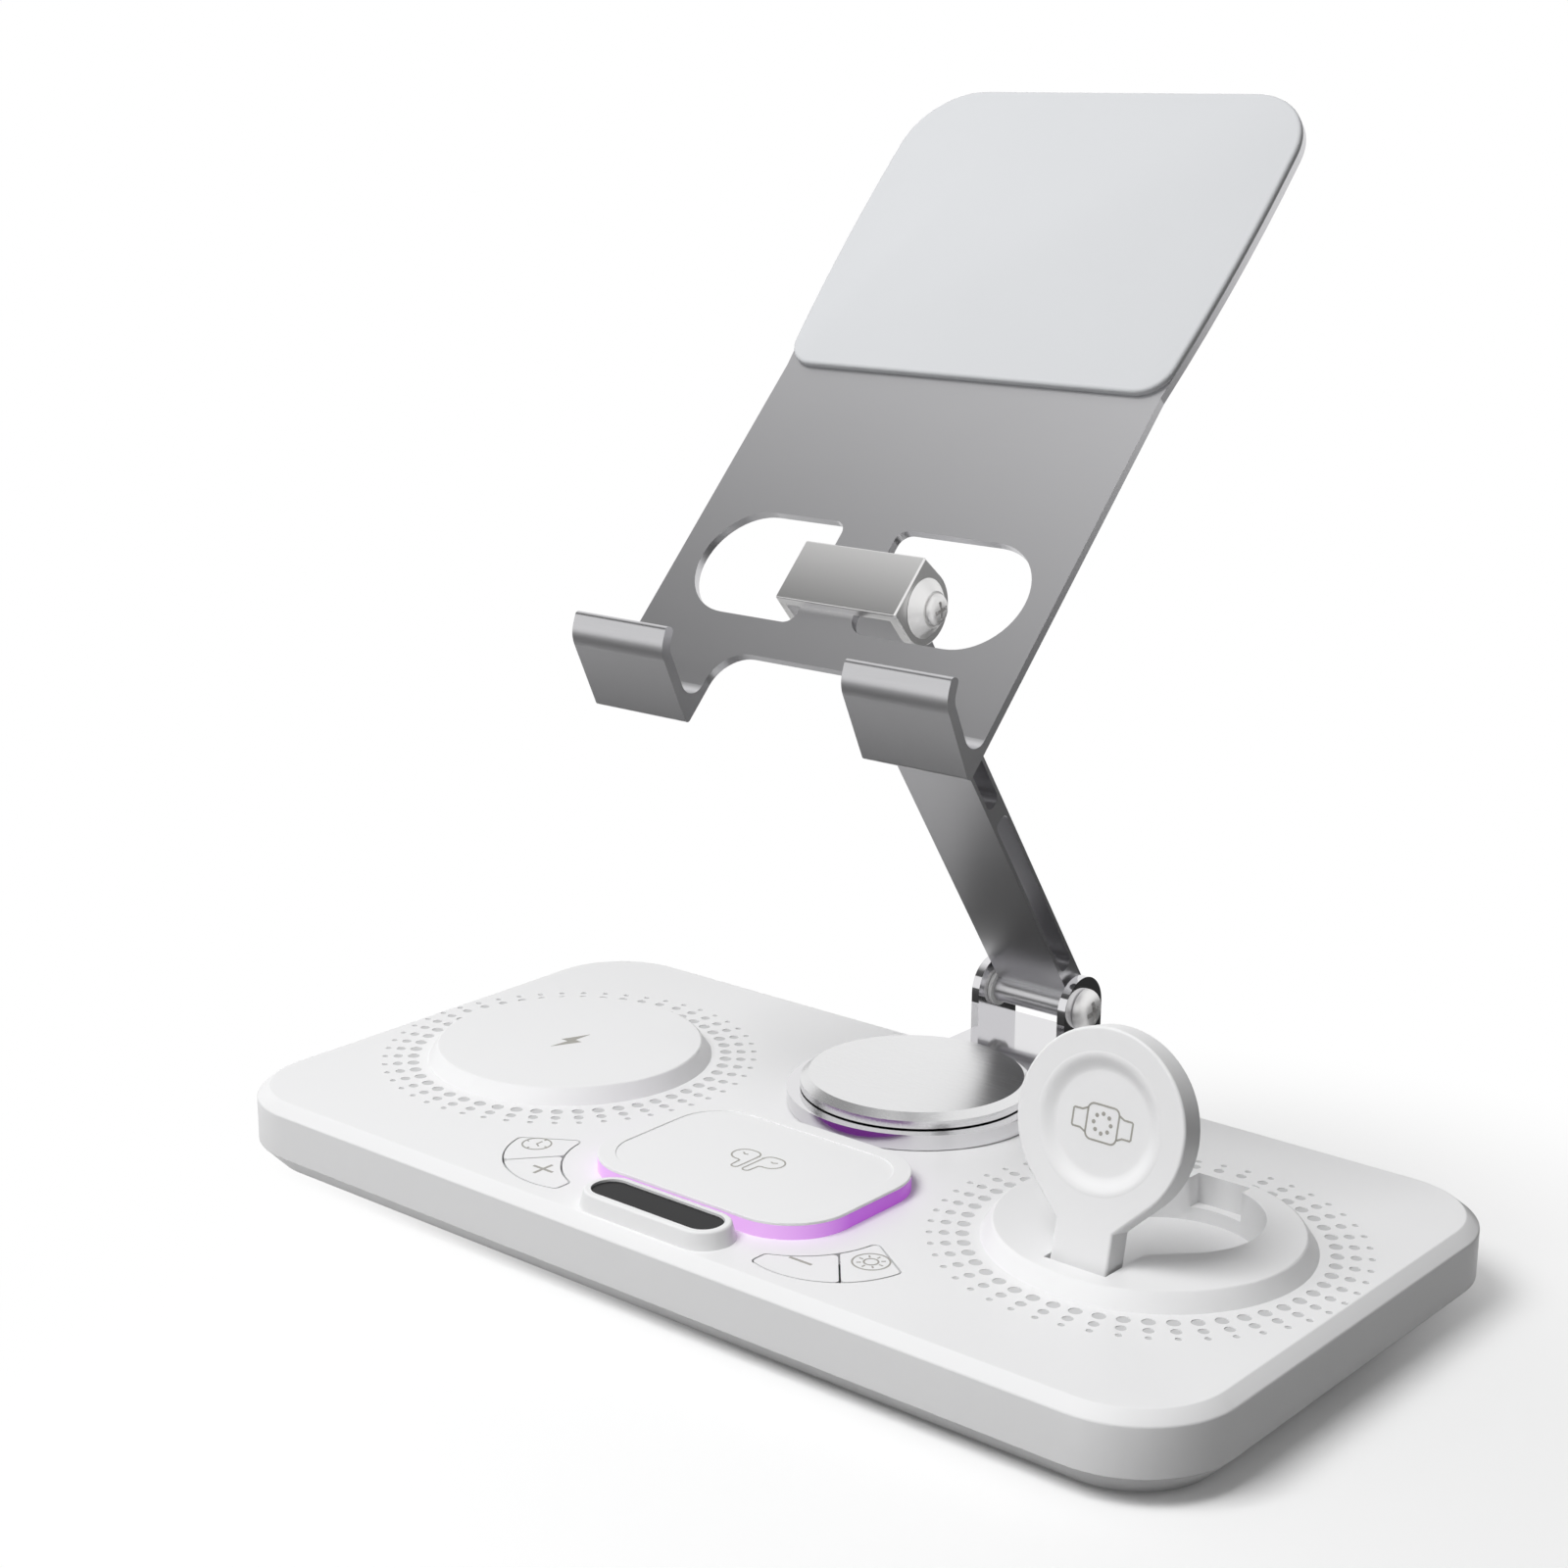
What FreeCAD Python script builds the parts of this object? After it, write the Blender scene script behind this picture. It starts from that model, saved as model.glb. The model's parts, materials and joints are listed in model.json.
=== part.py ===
import FreeCAD, Part
import Sketcher
import math
import os
import re

# Wireless charging station: a flat base with a phone pad, an earbud pad with a light ring, a clock display,
# four keys and a fold-up watch holder, and a folding metal phone stand on a turntable.
# Frame: origin on the desk under the centre of the base, X along the base, Y to the rear, Z up.
# All sizes are in millimetres and degrees.

SIZES = {
    # base shell
    "base_length": 210.0,
    "base_depth": 110.0,
    "base_corner": 18.0,
    "base_top": 15.0,
    "seam_level": 4.9,
    "edge_run": 2.3,
    "edge_drop": 1.8,
    "edge_round": 0.6,
    "foot_run": 4.0,
    "shell_wall": 2.0,
    "top_wall": 2.0,
    "floor_wall": 1.6,
    "seam_gap": 0.05,
    "cut_past": 1.0,
    "lip_gap": 0.2,
    "lip_wall": 1.2,
    "lip_rise": 2.2,
    "mat_proud": 0.7,
    "mat_seat": 0.5,
    "mat_margin": 13.0,
    "mat_corner": 10.0,
    "mat_gap": 0.2,
    # screws that hold the two covers together
    "case_screw_inset": 21.0,
    "case_post_radius": 3.6,
    "case_post_level": 6.0,
    "case_shank_radius": 1.25,
    "case_head_radius": 2.6,
    "case_head_height": 1.5,
    "case_head_level": 2.9,
    "case_shank_end": 10.8,
    "screw_gap": 0.3,
    # round pads
    "pad_inset": 39.0,
    "pad_y": 0.5,
    "pad_foot_radius": 27.6,
    "pad_top_radius": 25.7,
    "pad_height": 2.9,
    "pad_round": 0.6,
    "pad_wall": 2.0,
    "pad_bore_radius": 23.4,
    # phone coil under the left pad
    "coil_gap": 0.2,
    "coil_height": 1.5,
    "coil_radius": 21.5,
    "coil_eye_radius": 9.5,
    "ferrite_height": 0.8,
    "ferrite_radius": 22.5,
    # earbud pad and light ring
    "bud_length": 52.0,
    "bud_corner": 12.0,
    "bud_front_gap": 0.3,
    "bud_rear_gap": 3.6,
    "bud_height": 3.0,
    "lid_thickness": 1.1,
    "lid_edge": 0.5,
    "lid_rim": 3.2,
    "lid_recess": 0.2,
    "lid_round": 0.15,
    "ring_wall": 2.3,
    "ring_spigot_step": 1.0,
    "ring_spigot_depth": 3.0,
    "ring_gap": 0.2,
    "lid_skirt_wall": 1.3,
    "lid_skirt_depth": 4.6,
    "bud_coil_margin": 2.2,
    "bud_coil_eye_radius": 5.0,
    "bud_coil_height": 1.2,
    "bud_ferrite_margin": 1.4,
    "bud_ferrite_height": 0.7,
    # clock display
    "hood_length": 31.6,
    "hood_depth": 11.0,
    "hood_corner": 5.4,
    "hood_draft": 0.8,
    "hood_height": 3.0,
    "hood_round": 0.5,
    "hood_inset": 8.2,
    "lens_length": 27.4,
    "lens_depth": 6.9,
    "lens_corner": 3.3,
    "lens_thickness": 1.2,
    "lens_sink": 0.4,
    "lens_gap": 0.1,
    "window_rim": 0.9,
    "display_gap": 0.25,
    # keys: a crescent beside each front corner of the earbud pad, split in two
    "key_arc_x": 27.5,
    "key_arc_inset": 21.5,
    "key_arc_radius": 16.0,
    "key_hollow_x": 15.5,
    "key_hollow_inset": 26.7,
    "key_hollow_radius": 17.6,
    "key_end_x": 21.8,
    "key_tip_x": 34.5,
    "key_tip_inset": 24.7,
    "key_tip_angle": -33.3,
    "key_split_x": 31.0,
    "key_split_inset": 18.0,
    "key_split_angle": -50.5,
    "key_gap": 0.35,
    "key_corner": 1.2,
    "key_flange": 0.8,
    "key_flange_height": 0.9,
    "key_flange_gap": 0.1,
    "key_travel": 0.4,
    "key_stem_radius": 1.5,
    "key_stem_gap": 0.05,
    "near_key_x": 28.3,
    "near_key_inset": 11.8,
    "far_key_x": 36.6,
    "far_key_inset": 17.8,
    "switch_side": 5.0,
    "switch_height": 3.0,
    "plunger_radius": 1.2,
    "plunger_height": 0.4,
    # boards
    "board_level": 5.0,
    "board_thickness": 1.2,
    "board_length": 92.0,
    "board_depth": 46.0,
    "board_inset": 28.5,
    "board_post_radius": 2.4,
    "board_post_inset": 4.0,
    "power_x": -56.0,
    "power_inset": 14.2,
    "power_length": 26.0,
    "power_depth": 20.0,
    "socket_width": 9.0,
    "socket_depth": 7.4,
    "socket_height": 3.2,
    "socket_wall": 0.35,
    "socket_sink": 0.4,
    "socket_tongue_width": 6.3,
    "socket_tongue_sink": 1.0,
    "socket_gap": 0.25,
    "chip_side": 6.0,
    "chip_height": 1.4,
    "chip_pitch": 13.0,
    "chip_inset": 43.0,
    "lamp_side": 3.0,
    "lamp_height": 1.0,
    # turntable
    "pivot_y": 24.6,
    "anchor_length": 68.0,
    "anchor_depth": 42.0,
    "anchor_thickness": 1.5,
    "post_radius": 4.0,
    "post_flange_radius": 9.0,
    "post_flange_height": 2.0,
    "post_gap": 0.05,
    "post_hole_gap": 0.3,
    "washer_radius": 14.0,
    "washer_sink": 0.9,
    "swivel_gap": 0.2,
    "swivel_play": 0.05,
    "swivel_radius": 24.0,
    "swivel_thickness": 2.8,
    "neck_blend": 6.0,
    "cap_gap": 0.25,
    "cap_radius": 21.5,
    "cap_bevel_run": 1.5,
    "cap_bevel_drop": 1.2,
    "cap_height": 2.6,
    "cap_roof": 1.0,
    "cap_collar_radius": 8.0,
    "cap_collar_play": 0.05,
    # lower hinge of the stand
    "hinge_y": 63.5,
    "hinge_level": 25.4,
    "ear_radius": 6.4,
    "neck_tail": 1.4,
    "ear_thickness": 1.7,
    "hinge_washer_thickness": 0.8,
    "hinge_washer_radius": 3.5,
    "hinge_play": 0.05,
    "hinge_shank_radius": 1.5,
    "hinge_head_radius": 4.1,
    "hinge_head_height": 2.6,
    "hinge_cross": 3.6,
    "hinge_shank_depth": 6.0,
    "tapped_gap": 0.02,
    # arm
    "arm_length": 103.9,
    "arm_angle": 124.6,
    "arm_width": 16.6,
    "arm_thickness": 5.2,
    "arm_wall": 0.8,
    "arm_barrel_radius": 2.6,
    "arm_barrel_step": 3.0,
    "arm_web": 3.7,
    "arm_low_solid": 8.3,
    "arm_high_solid": 10.9,
    "slot_corner": 1.4,
    # upper hinge and bracket
    "bracket_width": 26.0,
    "bracket_height": 12.2,
    "bracket_sheet": 1.7,
    "bracket_round": 0.6,
    "bracket_eye_radius": 7.4,
    "bracket_play": 0.05,
    "spacer_radius": 2.7,
    "cup_foot_radius": 5.2,
    "cup_top_radius": 3.2,
    "cup_height": 1.9,
    "knuckle_head_radius": 2.8,
    "knuckle_head_height": 1.4,
    "knuckle_cross": 2.6,
    "head_dome_share": 0.7,
    "cross_slot": 0.7,
    "cross_depth": 0.9,
    # phone plate
    "plate_angle": 46.2,
    "plate_width": 80.8,
    "plate_rise": 111.3,
    "plate_drop": 32.2,
    "plate_sheet": 1.6,
    "plate_depth": 4.6,
    "plate_corner": 13.5,
    "plate_bulge": 2.4,
    "plate_bulge_level": 90.0,
    "notch_width": 38.6,
    "notch_rise": 15.0,
    "notch_corner": 6.5,
    "window_reach": 35.0,
    "window_high": 11.9,
    "window_low": 9.8,
    "tongue_left": 8.0,
    "tongue_right": 3.5,
    "window_corner": 2.4,
    "window_relief": 4.0,
    "hook_lean": 21.0,
    "hook_height": 15.6,
    "hook_curl": 65.0,
    "hook_tip": 4.4,
    "hook_sheet": 2.0,
    "hook_bend": 5.0,
    "hook_heel": 0.8,
    "hook_foot": 11.0,
    "hook_scoop": 3.2,
    "hook_curve": 3.0,
    "hook_end": 0.8,
    "soft_thickness": 1.2,
    "soft_start": 44.3,
    "soft_corner": 6.0,
    "soft_round": 0.4,
    "hook_pad_thickness": 1.2,
    "hook_pad_inset": 1.5,
    "hook_pad_gap": 0.2,
    # watch holder
    "watch_y": -18.4,
    "watch_level": 15.4,
    "watch_tilt": 11.5,
    "watch_reach": 24.9,
    "watch_head_radius": 15.5,
    "watch_thickness": 5.0,
    "watch_round": 0.5,
    "watch_neck_width": 10.7,
    "watch_flank_angle": 45.0,
    "watch_gap": 0.5,
    "watch_floor": 10.0,
    "well_wall": 1.5,
    "grip_width": 10.0,
    "grip_reach": 1.8,
    "grip_floor": 12.5,
    "watch_pin_radius": 1.0,
    "watch_pin_length": 16.4,
    "watch_pin_play": 0.05,
    "dish_radius": 11.3,
    "dish_height": 2.3,
    "dish_hollow": 1.1,
    "dish_rim": 0.6,
    "dish_slope": 1.6,
    "dish_round": 0.9,
    "dish_gap": 0.1,
    "watch_coil_radius": 11.0,
    "watch_coil_eye_radius": 5.0,
    "watch_coil_height": 0.9,
    "magnet_radius": 4.2,
}

# Places and sizes that follow from the ones above
DERIVED = {
    "pad_x": "(base_length / 2 - pad_inset)",
    "case_screw_x": "(base_length / 2 - case_screw_inset)",
    "case_screw_y": "(base_depth / 2 - case_screw_inset)",
    "hood_y": "(hood_inset - base_depth / 2)",
    "bud_front": "(hood_y + hood_depth / 2 + bud_front_gap)",
    "bud_rear": "(pivot_y - swivel_radius - bud_rear_gap)",
    "bud_depth": "(bud_rear - bud_front)",
    "bud_y": "((bud_rear + bud_front) / 2)",
    "bud_room": "(bud_depth / 2 - ring_wall - ring_gap - lid_skirt_wall)",
    "key_arc_y": "(key_arc_inset - base_depth / 2)",
    "key_hollow_y": "(key_hollow_inset - base_depth / 2)",
    "key_tip_y": "(key_tip_inset - base_depth / 2)",
    "key_split_y": "(key_split_inset - base_depth / 2)",
    "near_key_y": "(near_key_inset - base_depth / 2)",
    "far_key_y": "(far_key_inset - base_depth / 2)",
    "board_y": "(board_inset - base_depth / 2)",
    "chip_y": "(chip_inset - base_depth / 2)",
    "power_y": "(base_depth / 2 - power_inset)",
    "plate_bulge_radius": "(((plate_bulge_level - soft_start) ^ 2 + plate_bulge ^ 2) / (2 * plate_bulge))",
}

X_AXIS = FreeCAD.Vector(1, 0, 0)
Y_AXIS = FreeCAD.Vector(0, 1, 0)
Z_AXIS = FreeCAD.Vector(0, 0, 1)
ORIGIN = FreeCAD.Vector(0, 0, 0)
REACH = "(base_length + base_depth)"

doc = FreeCAD.newDocument("charging_station")
sheet = doc.addObject("Spreadsheet::Sheet", "Sizes")
for row, (alias, size) in enumerate(SIZES.items(), start=1):
    sheet.set(f"A{row}", alias)
    sheet.set(f"B{row}", str(size))
    sheet.setAlias(f"B{row}", alias)
doc.recompute()

subparts = []


def sized(formula):
    """The formula with each size's name pointing at its cell, and derived names worked out."""
    def cell(match):
        word = match.group(0)
        if word in DERIVED:
            return sized(DERIVED[word])
        return f"Sizes.{word}" if word in SIZES else word
    return re.sub(r"[a-z_]+", cell, str(formula))


def value(formula):
    """The number that a formula of sizes gives now."""
    return float(sheet.evalExpression(sized(formula)))


def link(item, prop, formula):
    item.setExpression(prop, sized(formula))


def place(item, x="0", y="0", z="0", turn=None, axis=X_AXIS):
    """Bind an object's place, and its turn about one axis."""
    if turn is not None:
        item.Placement = FreeCAD.Placement(ORIGIN, FreeCAD.Rotation(axis, value(turn)))
        link(item, "Placement.Rotation.Angle", turn)
    for name, formula in zip("xyz", (x, y, z)):
        link(item, f"Placement.Base.{name}", formula)
    return item


def box(name, length, width, height, x="0", y="0", z="0", turn=None, axis=X_AXIS):
    item = doc.addObject("Part::Box", name)
    for prop, formula in (("Length", length), ("Width", width), ("Height", height)):
        link(item, prop, formula)
    return place(item, x, y, z, turn, axis)


def block(name, length, width, height, x="0", y="0", z="0"):
    """A box centred on x and y, with its foot at z."""
    return box(name, length, width, height, f"{x} - ({length}) / 2", f"{y} - ({width}) / 2", z)


def cylinder(name, radius, height, x="0", y="0", z="0"):
    item = doc.addObject("Part::Cylinder", name)
    link(item, "Radius", radius)
    link(item, "Height", height)
    return place(item, x, y, z)


def rod(name, radius, start, end, y="0", z="0"):
    """A cylinder along X from start to end."""
    item = doc.addObject("Part::Cylinder", name)
    link(item, "Radius", radius)
    link(item, "Height", f"({end}) - ({start})")
    return place(item, start, y, z, "90", Y_AXIS)


def cone(name, foot_radius, top_radius, height, x="0", y="0", z="0", turn=None, axis=Y_AXIS):
    item = doc.addObject("Part::Cone", name)
    for prop, formula in (("Radius1", foot_radius), ("Radius2", top_radius), ("Height", height)):
        link(item, prop, formula)
    return place(item, x, y, z, turn, axis)


def outline(name, length, depth, corner, x="0", y="0", z="0"):
    """A sketch of a rectangle with round corners, centred on x and y, at height z."""
    sketch = doc.addObject("Sketcher::SketchObject", name)
    half_l, half_d, round_c = value(length) / 2, value(depth) / 2, value(corner)
    signs = ((1, -1), (1, 1), (-1, 1), (-1, -1))
    centres = [(sx * (half_l - round_c), sy * (half_d - round_c)) for sx, sy in signs]
    quarter = math.pi / 2
    for turn, (cx, cy) in enumerate(centres):
        circle = Part.Circle(FreeCAD.Vector(cx, cy, 0), Z_AXIS, round_c)
        sketch.addGeometry(Part.ArcOfCircle(circle, (turn - 1) * quarter, turn * quarter))
    for turn in range(4):
        start = sketch.Geometry[turn].EndPoint
        end = sketch.Geometry[(turn + 1) % 4].StartPoint
        sketch.addGeometry(Part.LineSegment(start, end))
    for turn in range(4):
        sketch.addConstraint(Sketcher.Constraint("Tangent", turn, 2, 4 + turn, 1))
        sketch.addConstraint(Sketcher.Constraint("Tangent", 4 + turn, 2, (turn + 1) % 4, 1))
    for turn in (4, 6):
        sketch.addConstraint(Sketcher.Constraint("Vertical", turn))
        sketch.addConstraint(Sketcher.Constraint("Horizontal", turn + 1))
    for turn in (1, 2, 3):
        sketch.addConstraint(Sketcher.Constraint("Equal", 0, turn))
    sketch.addConstraint(Sketcher.Constraint("Symmetric", 0, 3, 2, 3, -1, 1))
    run, rise = 2 * (half_l - round_c), 2 * (half_d - round_c)
    for constraint, label, formula in (
        (Sketcher.Constraint("Radius", 0, round_c), "corner", corner),
        (Sketcher.Constraint("DistanceX", 3, 3, 0, 3, run), "length", f"{length} - 2 * ({corner})"),
        (Sketcher.Constraint("DistanceY", 0, 3, 1, 3, rise), "depth", f"{depth} - 2 * ({corner})"),
    ):
        index = sketch.addConstraint(constraint)
        sketch.renameConstraint(index, label)
        link(sketch, f"Constraints.{label}", formula)
    return place(sketch, x, y, z)


def slab(name, length, depth, corner, height, x="0", y="0", z="0"):
    """A plate with round corners, centred on x and y, with its foot at z."""
    item = doc.addObject("Part::Extrusion", name)
    item.Base = outline(f"{name}_outline", length, depth, corner, x, y, z)
    item.DirMode = "Custom"
    item.Dir = Z_AXIS
    item.Solid = True
    link(item, "LengthFwd", height)
    return item


def taper(name, lower, upper):
    """A ruled solid between two outlines."""
    item = doc.addObject("Part::Loft", name)
    item.Sections = [lower, upper]
    item.Solid = True
    item.Ruled = True
    return item


def fuse(name, *items):
    item = doc.addObject("Part::MultiFuse", name)
    item.Shapes = list(items)
    item.Refine = True
    return item


def cut(name, base, *tools):
    item = doc.addObject("Part::Cut", name)
    item.Base = base
    item.Tool = tools[0] if len(tools) == 1 else fuse(f"{name}_tools", *tools)
    item.Refine = True
    return item


def mirrored(name, source):
    item = doc.addObject("Part::Mirroring", name)
    item.Source = source
    item.Normal = X_AXIS
    return item


def group(name, *items):
    """Separate solids of one sub-part."""
    item = doc.addObject("Part::Compound", name)
    item.Links = list(items)
    return item


def rounded(name, base, radius, wanted):
    """Round the edges of a solid that wanted(edge) picks."""
    doc.recompute()
    size = value(radius)
    picked = [n for n, edge in enumerate(base.Shape.Edges, start=1) if wanted(edge)]
    if not picked:
        raise RuntimeError(f"{name}: no edge to round")
    item = doc.addObject("Part::Fillet", name)
    item.Base = base
    item.Edges = [(n, size, size) for n in picked]
    return item


def straight_at(direction, **near):
    """A test for straight edges along a direction whose middle has the given coordinates."""
    def wanted(edge):
        if edge.Curve.TypeId != "Part::GeomLine":
            return False
        if abs(abs(edge.tangentAt(edge.FirstParameter).dot(direction)) - 1) > 1e-4:
            return False
        middle = edge.CenterOfMass
        return all(min(abs(getattr(middle, c) - v) for v in values) < 0.02 for c, values in near.items())
    return wanted


def flat_at(axis, *levels):
    """A test for edges that lie whole at one of the given levels along an axis named X, Y or Z."""
    def wanted(edge):
        box = edge.BoundBox
        low, high = getattr(box, f"{axis}Min"), getattr(box, f"{axis}Max")
        return any(abs(low - level) < 0.02 and abs(high - level) < 0.02 for level in levels)
    return wanted


def keep(item, label):
    """Mark an object as a finished sub-part."""
    item.Label = label
    subparts.append(item)
    return item


# Levels and places that several pieces share
BOARD_TOP = "(board_level + board_thickness)"
FLOOR = "(mat_proud + floor_wall)"
CEILING = "(base_top - top_wall)"
PAD_TOP = "(base_top + pad_height)"
BUD_TOP = "(base_top + bud_height)"
HOOD_TOP = "(base_top + hood_height)"
LENS_SEAT = "(base_top + hood_height - lens_sink - lens_thickness)"
SWIVEL_FOOT = "(base_top + swivel_gap)"
SWIVEL_TOP = "(base_top + swivel_gap + swivel_thickness)"
CAP_FOOT = "(base_top + swivel_gap + swivel_thickness + cap_gap)"
EAR_INNER = "(arm_width / 2 + hinge_washer_thickness + 2 * hinge_play)"
EAR_OUTER = "(arm_width / 2 + hinge_washer_thickness + 2 * hinge_play + ear_thickness)"
KNUCKLE_Y = "(hinge_y + arm_length * cos(arm_angle) + arm_barrel_step * sin(arm_angle))"
KNUCKLE_Z = "(hinge_level + arm_length * sin(arm_angle) - arm_barrel_step * cos(arm_angle))"
FLANGE_INNER = "(bracket_width / 2 - bracket_sheet)"
CHANNEL_HALF = "(watch_neck_width / 2 + watch_gap)"
POCKET_RADIUS = "(watch_head_radius + watch_gap)"
POCKET_Y = "(watch_y + watch_reach)"
CHANNEL_FRONT = "(watch_y - watch_thickness / 2 - watch_gap)"
CORNER_SCREWS = [(f"{sx} * case_screw_x", f"{sy} * case_screw_y") for sx in (-1, 1) for sy in (-1, 1)]


def key_blank(name, grow, foot, height, side=None, corner=None):
    """The crescent beside the earbud pad's right front corner, or one key of it: side near or far."""
    rim = cylinder(f"{name}_rim", f"key_arc_radius + ({grow})", height, "key_arc_x", "key_arc_y", foot)
    hollow = cylinder(
        f"{name}_hollow", f"key_hollow_radius - ({grow})", height, "key_hollow_x", "key_hollow_y", foot,
    )
    end = box(
        f"{name}_end", REACH, REACH, height, f"key_end_x - ({grow}) - {REACH}", f"-{REACH} / 2", foot,
    )
    tip = box(
        f"{name}_tip", REACH, REACH, height,
        f"key_tip_x - {REACH} / 2 * cos(key_tip_angle) - ({grow}) * sin(key_tip_angle)",
        f"key_tip_y - {REACH} / 2 * sin(key_tip_angle) + ({grow}) * cos(key_tip_angle)",
        foot, "key_tip_angle", Z_AXIS,
    )
    tools = [hollow, end, tip]
    if side:
        shift = "-key_gap / 2" if side == "near" else f"key_gap / 2 - {REACH}"
        tools.append(box(
            f"{name}_split", REACH, REACH, height,
            f"key_split_x - {REACH} / 2 * cos(key_split_angle) - ({shift}) * sin(key_split_angle)",
            f"key_split_y - {REACH} / 2 * sin(key_split_angle) + ({shift}) * cos(key_split_angle)",
            foot, "key_split_angle", Z_AXIS,
        ))
    blank = cut(f"{name}_sharp" if corner else name, rim, *tools)
    return rounded(name, blank, corner, straight_at(Z_AXIS)) if corner else blank


def watch_well(name, margin, foot, top):
    """The space that the folded watch holder needs for its head, flanks and neck, grown by a margin."""
    height = f"({top}) - ({foot})"
    radius = f"({POCKET_RADIUS} + ({margin}))"
    head = cylinder(f"{name}_head", radius, height, "pad_x", POCKET_Y, foot)
    flanks = box(
        f"{name}_flanks", radius, radius, height, "pad_x", POCKET_Y, foot,
        "-90 - watch_flank_angle", Z_AXIS,
    )
    channel = box(
        f"{name}_channel", f"2 * ({CHANNEL_HALF} + ({margin}))",
        f"{POCKET_Y} - {CHANNEL_FRONT} + ({margin})", height,
        f"pad_x - {CHANNEL_HALF} - ({margin})", f"{CHANNEL_FRONT} - ({margin})", foot,
    )
    return fuse(name, head, flanks, channel)


def make_top_cover():
    wall = slab(
        "cover_wall", "base_length", "base_depth", "base_corner", "base_top - edge_drop - seam_level",
        z="seam_level",
    )
    edge = taper(
        "cover_edge",
        outline("cover_edge_low", "base_length", "base_depth", "base_corner", z="base_top - edge_drop"),
        outline(
            "cover_edge_high", "base_length - 2 * edge_run", "base_depth - 2 * edge_run",
            "base_corner - edge_run", z="base_top",
        ),
    )
    block_solid = rounded(
        "cover_block", fuse("cover_block_sharp", wall, edge), "edge_round",
        flat_at("Z", value("base_top - edge_drop"), value("base_top")),
    )
    pads = []
    for n, sx in enumerate((-1, 1)):
        pad = cone(
            f"cover_pad_sharp_{n}", "pad_foot_radius", "pad_top_radius", "pad_height", f"{sx} * pad_x",
            "pad_y", "base_top",
        )
        pads.append(rounded(f"cover_pad_{n}", pad, "pad_round", flat_at("Z", value(PAD_TOP))))
    hood_sharp = taper(
        "cover_hood_sharp",
        outline("cover_hood_low", "hood_length", "hood_depth", "hood_corner", y="hood_y", z="base_top"),
        outline(
            "cover_hood_high", "hood_length - 2 * hood_draft", "hood_depth - 2 * hood_draft",
            "hood_corner - hood_draft", y="hood_y", z=HOOD_TOP,
        ),
    )
    hood = rounded("cover_hood", hood_sharp, "hood_round", flat_at("Z", value(HOOD_TOP)))
    outside = fuse("cover_outside", block_solid, *pads, hood)
    room = slab(
        "cover_room", "base_length - 2 * shell_wall", "base_depth - 2 * shell_wall",
        "base_corner - shell_wall", f"{CEILING} - seam_level + shell_wall", z="seam_level - shell_wall",
    )
    coil_room = cylinder(
        "cover_coil_room", "pad_bore_radius", f"{PAD_TOP} - pad_wall - {CEILING} + top_wall", "-pad_x",
        "pad_y", f"{CEILING} - top_wall",
    )
    shell = cut("cover_shell", outside, room, coil_room)
    well = watch_well("cover_well", "well_wall", "watch_floor - well_wall", "base_top")
    grip_well = block(
        "cover_grip_well", "grip_width + 2 * well_wall", f"2 * ({POCKET_RADIUS} + grip_reach + well_wall)",
        "base_top - grip_floor + well_wall", "pad_x", POCKET_Y, "grip_floor - well_wall",
    )
    bosses = [
        cylinder(
            f"cover_boss_{n}", "case_post_radius",
            f"{CEILING} - case_post_level - seam_gap + top_wall / 2", x, y, "case_post_level + seam_gap",
        )
        for n, (x, y) in enumerate(CORNER_SCREWS)
    ]
    solid = fuse("cover_solid", shell, well, grip_well, *bosses)
    holes = [
        watch_well("cover_pocket", "0", "watch_floor", f"{PAD_TOP} + cut_past"),
        block(
            "cover_grip", "grip_width", f"2 * ({POCKET_RADIUS} + grip_reach)",
            f"{PAD_TOP} - grip_floor + cut_past", "pad_x", POCKET_Y, "grip_floor",
        ),
        rod(
            "cover_pin_hole", "watch_pin_radius + tapped_gap",
            "pad_x - watch_pin_length / 2 - tapped_gap", "pad_x + watch_pin_length / 2 + tapped_gap",
            "watch_y", "watch_level",
        ),
        slab(
            "cover_ring_hole", "bud_length - 2 * ring_spigot_step + 2 * ring_gap",
            "bud_depth - 2 * ring_spigot_step + 2 * ring_gap", "bud_corner - ring_spigot_step + ring_gap",
            "2 * top_wall + cut_past", y="bud_y", z=f"{CEILING} - cut_past",
        ),
        slab(
            "cover_lens_seat", "lens_length + 2 * lens_gap", "lens_depth + 2 * lens_gap",
            "lens_corner + lens_gap", "lens_thickness + lens_sink + cut_past", y="hood_y", z=LENS_SEAT,
        ),
        slab(
            "cover_window", "lens_length - 2 * window_rim", "lens_depth - 2 * window_rim",
            "lens_corner - window_rim", f"{LENS_SEAT} - {CEILING} + 2 * cut_past",
            y="hood_y", z=f"{CEILING} - cut_past",
        ),
        cylinder(
            "cover_washer_seat", "washer_radius + ring_gap", "washer_sink + cut_past", "0", "pivot_y",
            "base_top - washer_sink",
        ),
        cylinder(
            "cover_post_hole", "post_radius + post_hole_gap", "top_wall + 2 * cut_past", "0", "pivot_y",
            f"{CEILING} - cut_past",
        ),
        block(
            "cover_socket_hole", "socket_width + 2 * socket_gap", "3 * shell_wall",
            "socket_height + 2 * socket_gap", "power_x", "base_depth / 2", f"{BOARD_TOP} - socket_gap",
        ),
    ]
    keys = key_blank(
        "cover_key_hole", "0", f"{CEILING} - cut_past", "top_wall + 2 * cut_past", corner="key_corner",
    )
    holes += [keys, mirrored("cover_key_hole_left", keys)]
    holes += [
        cylinder(
            f"cover_screw_hole_{n}", "case_shank_radius + tapped_gap",
            "case_shank_end + screw_gap - case_post_level", x, y, "case_post_level",
        )
        for n, (x, y) in enumerate(CORNER_SCREWS)
    ]
    return cut("top_cover_solid", solid, *holes)


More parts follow.
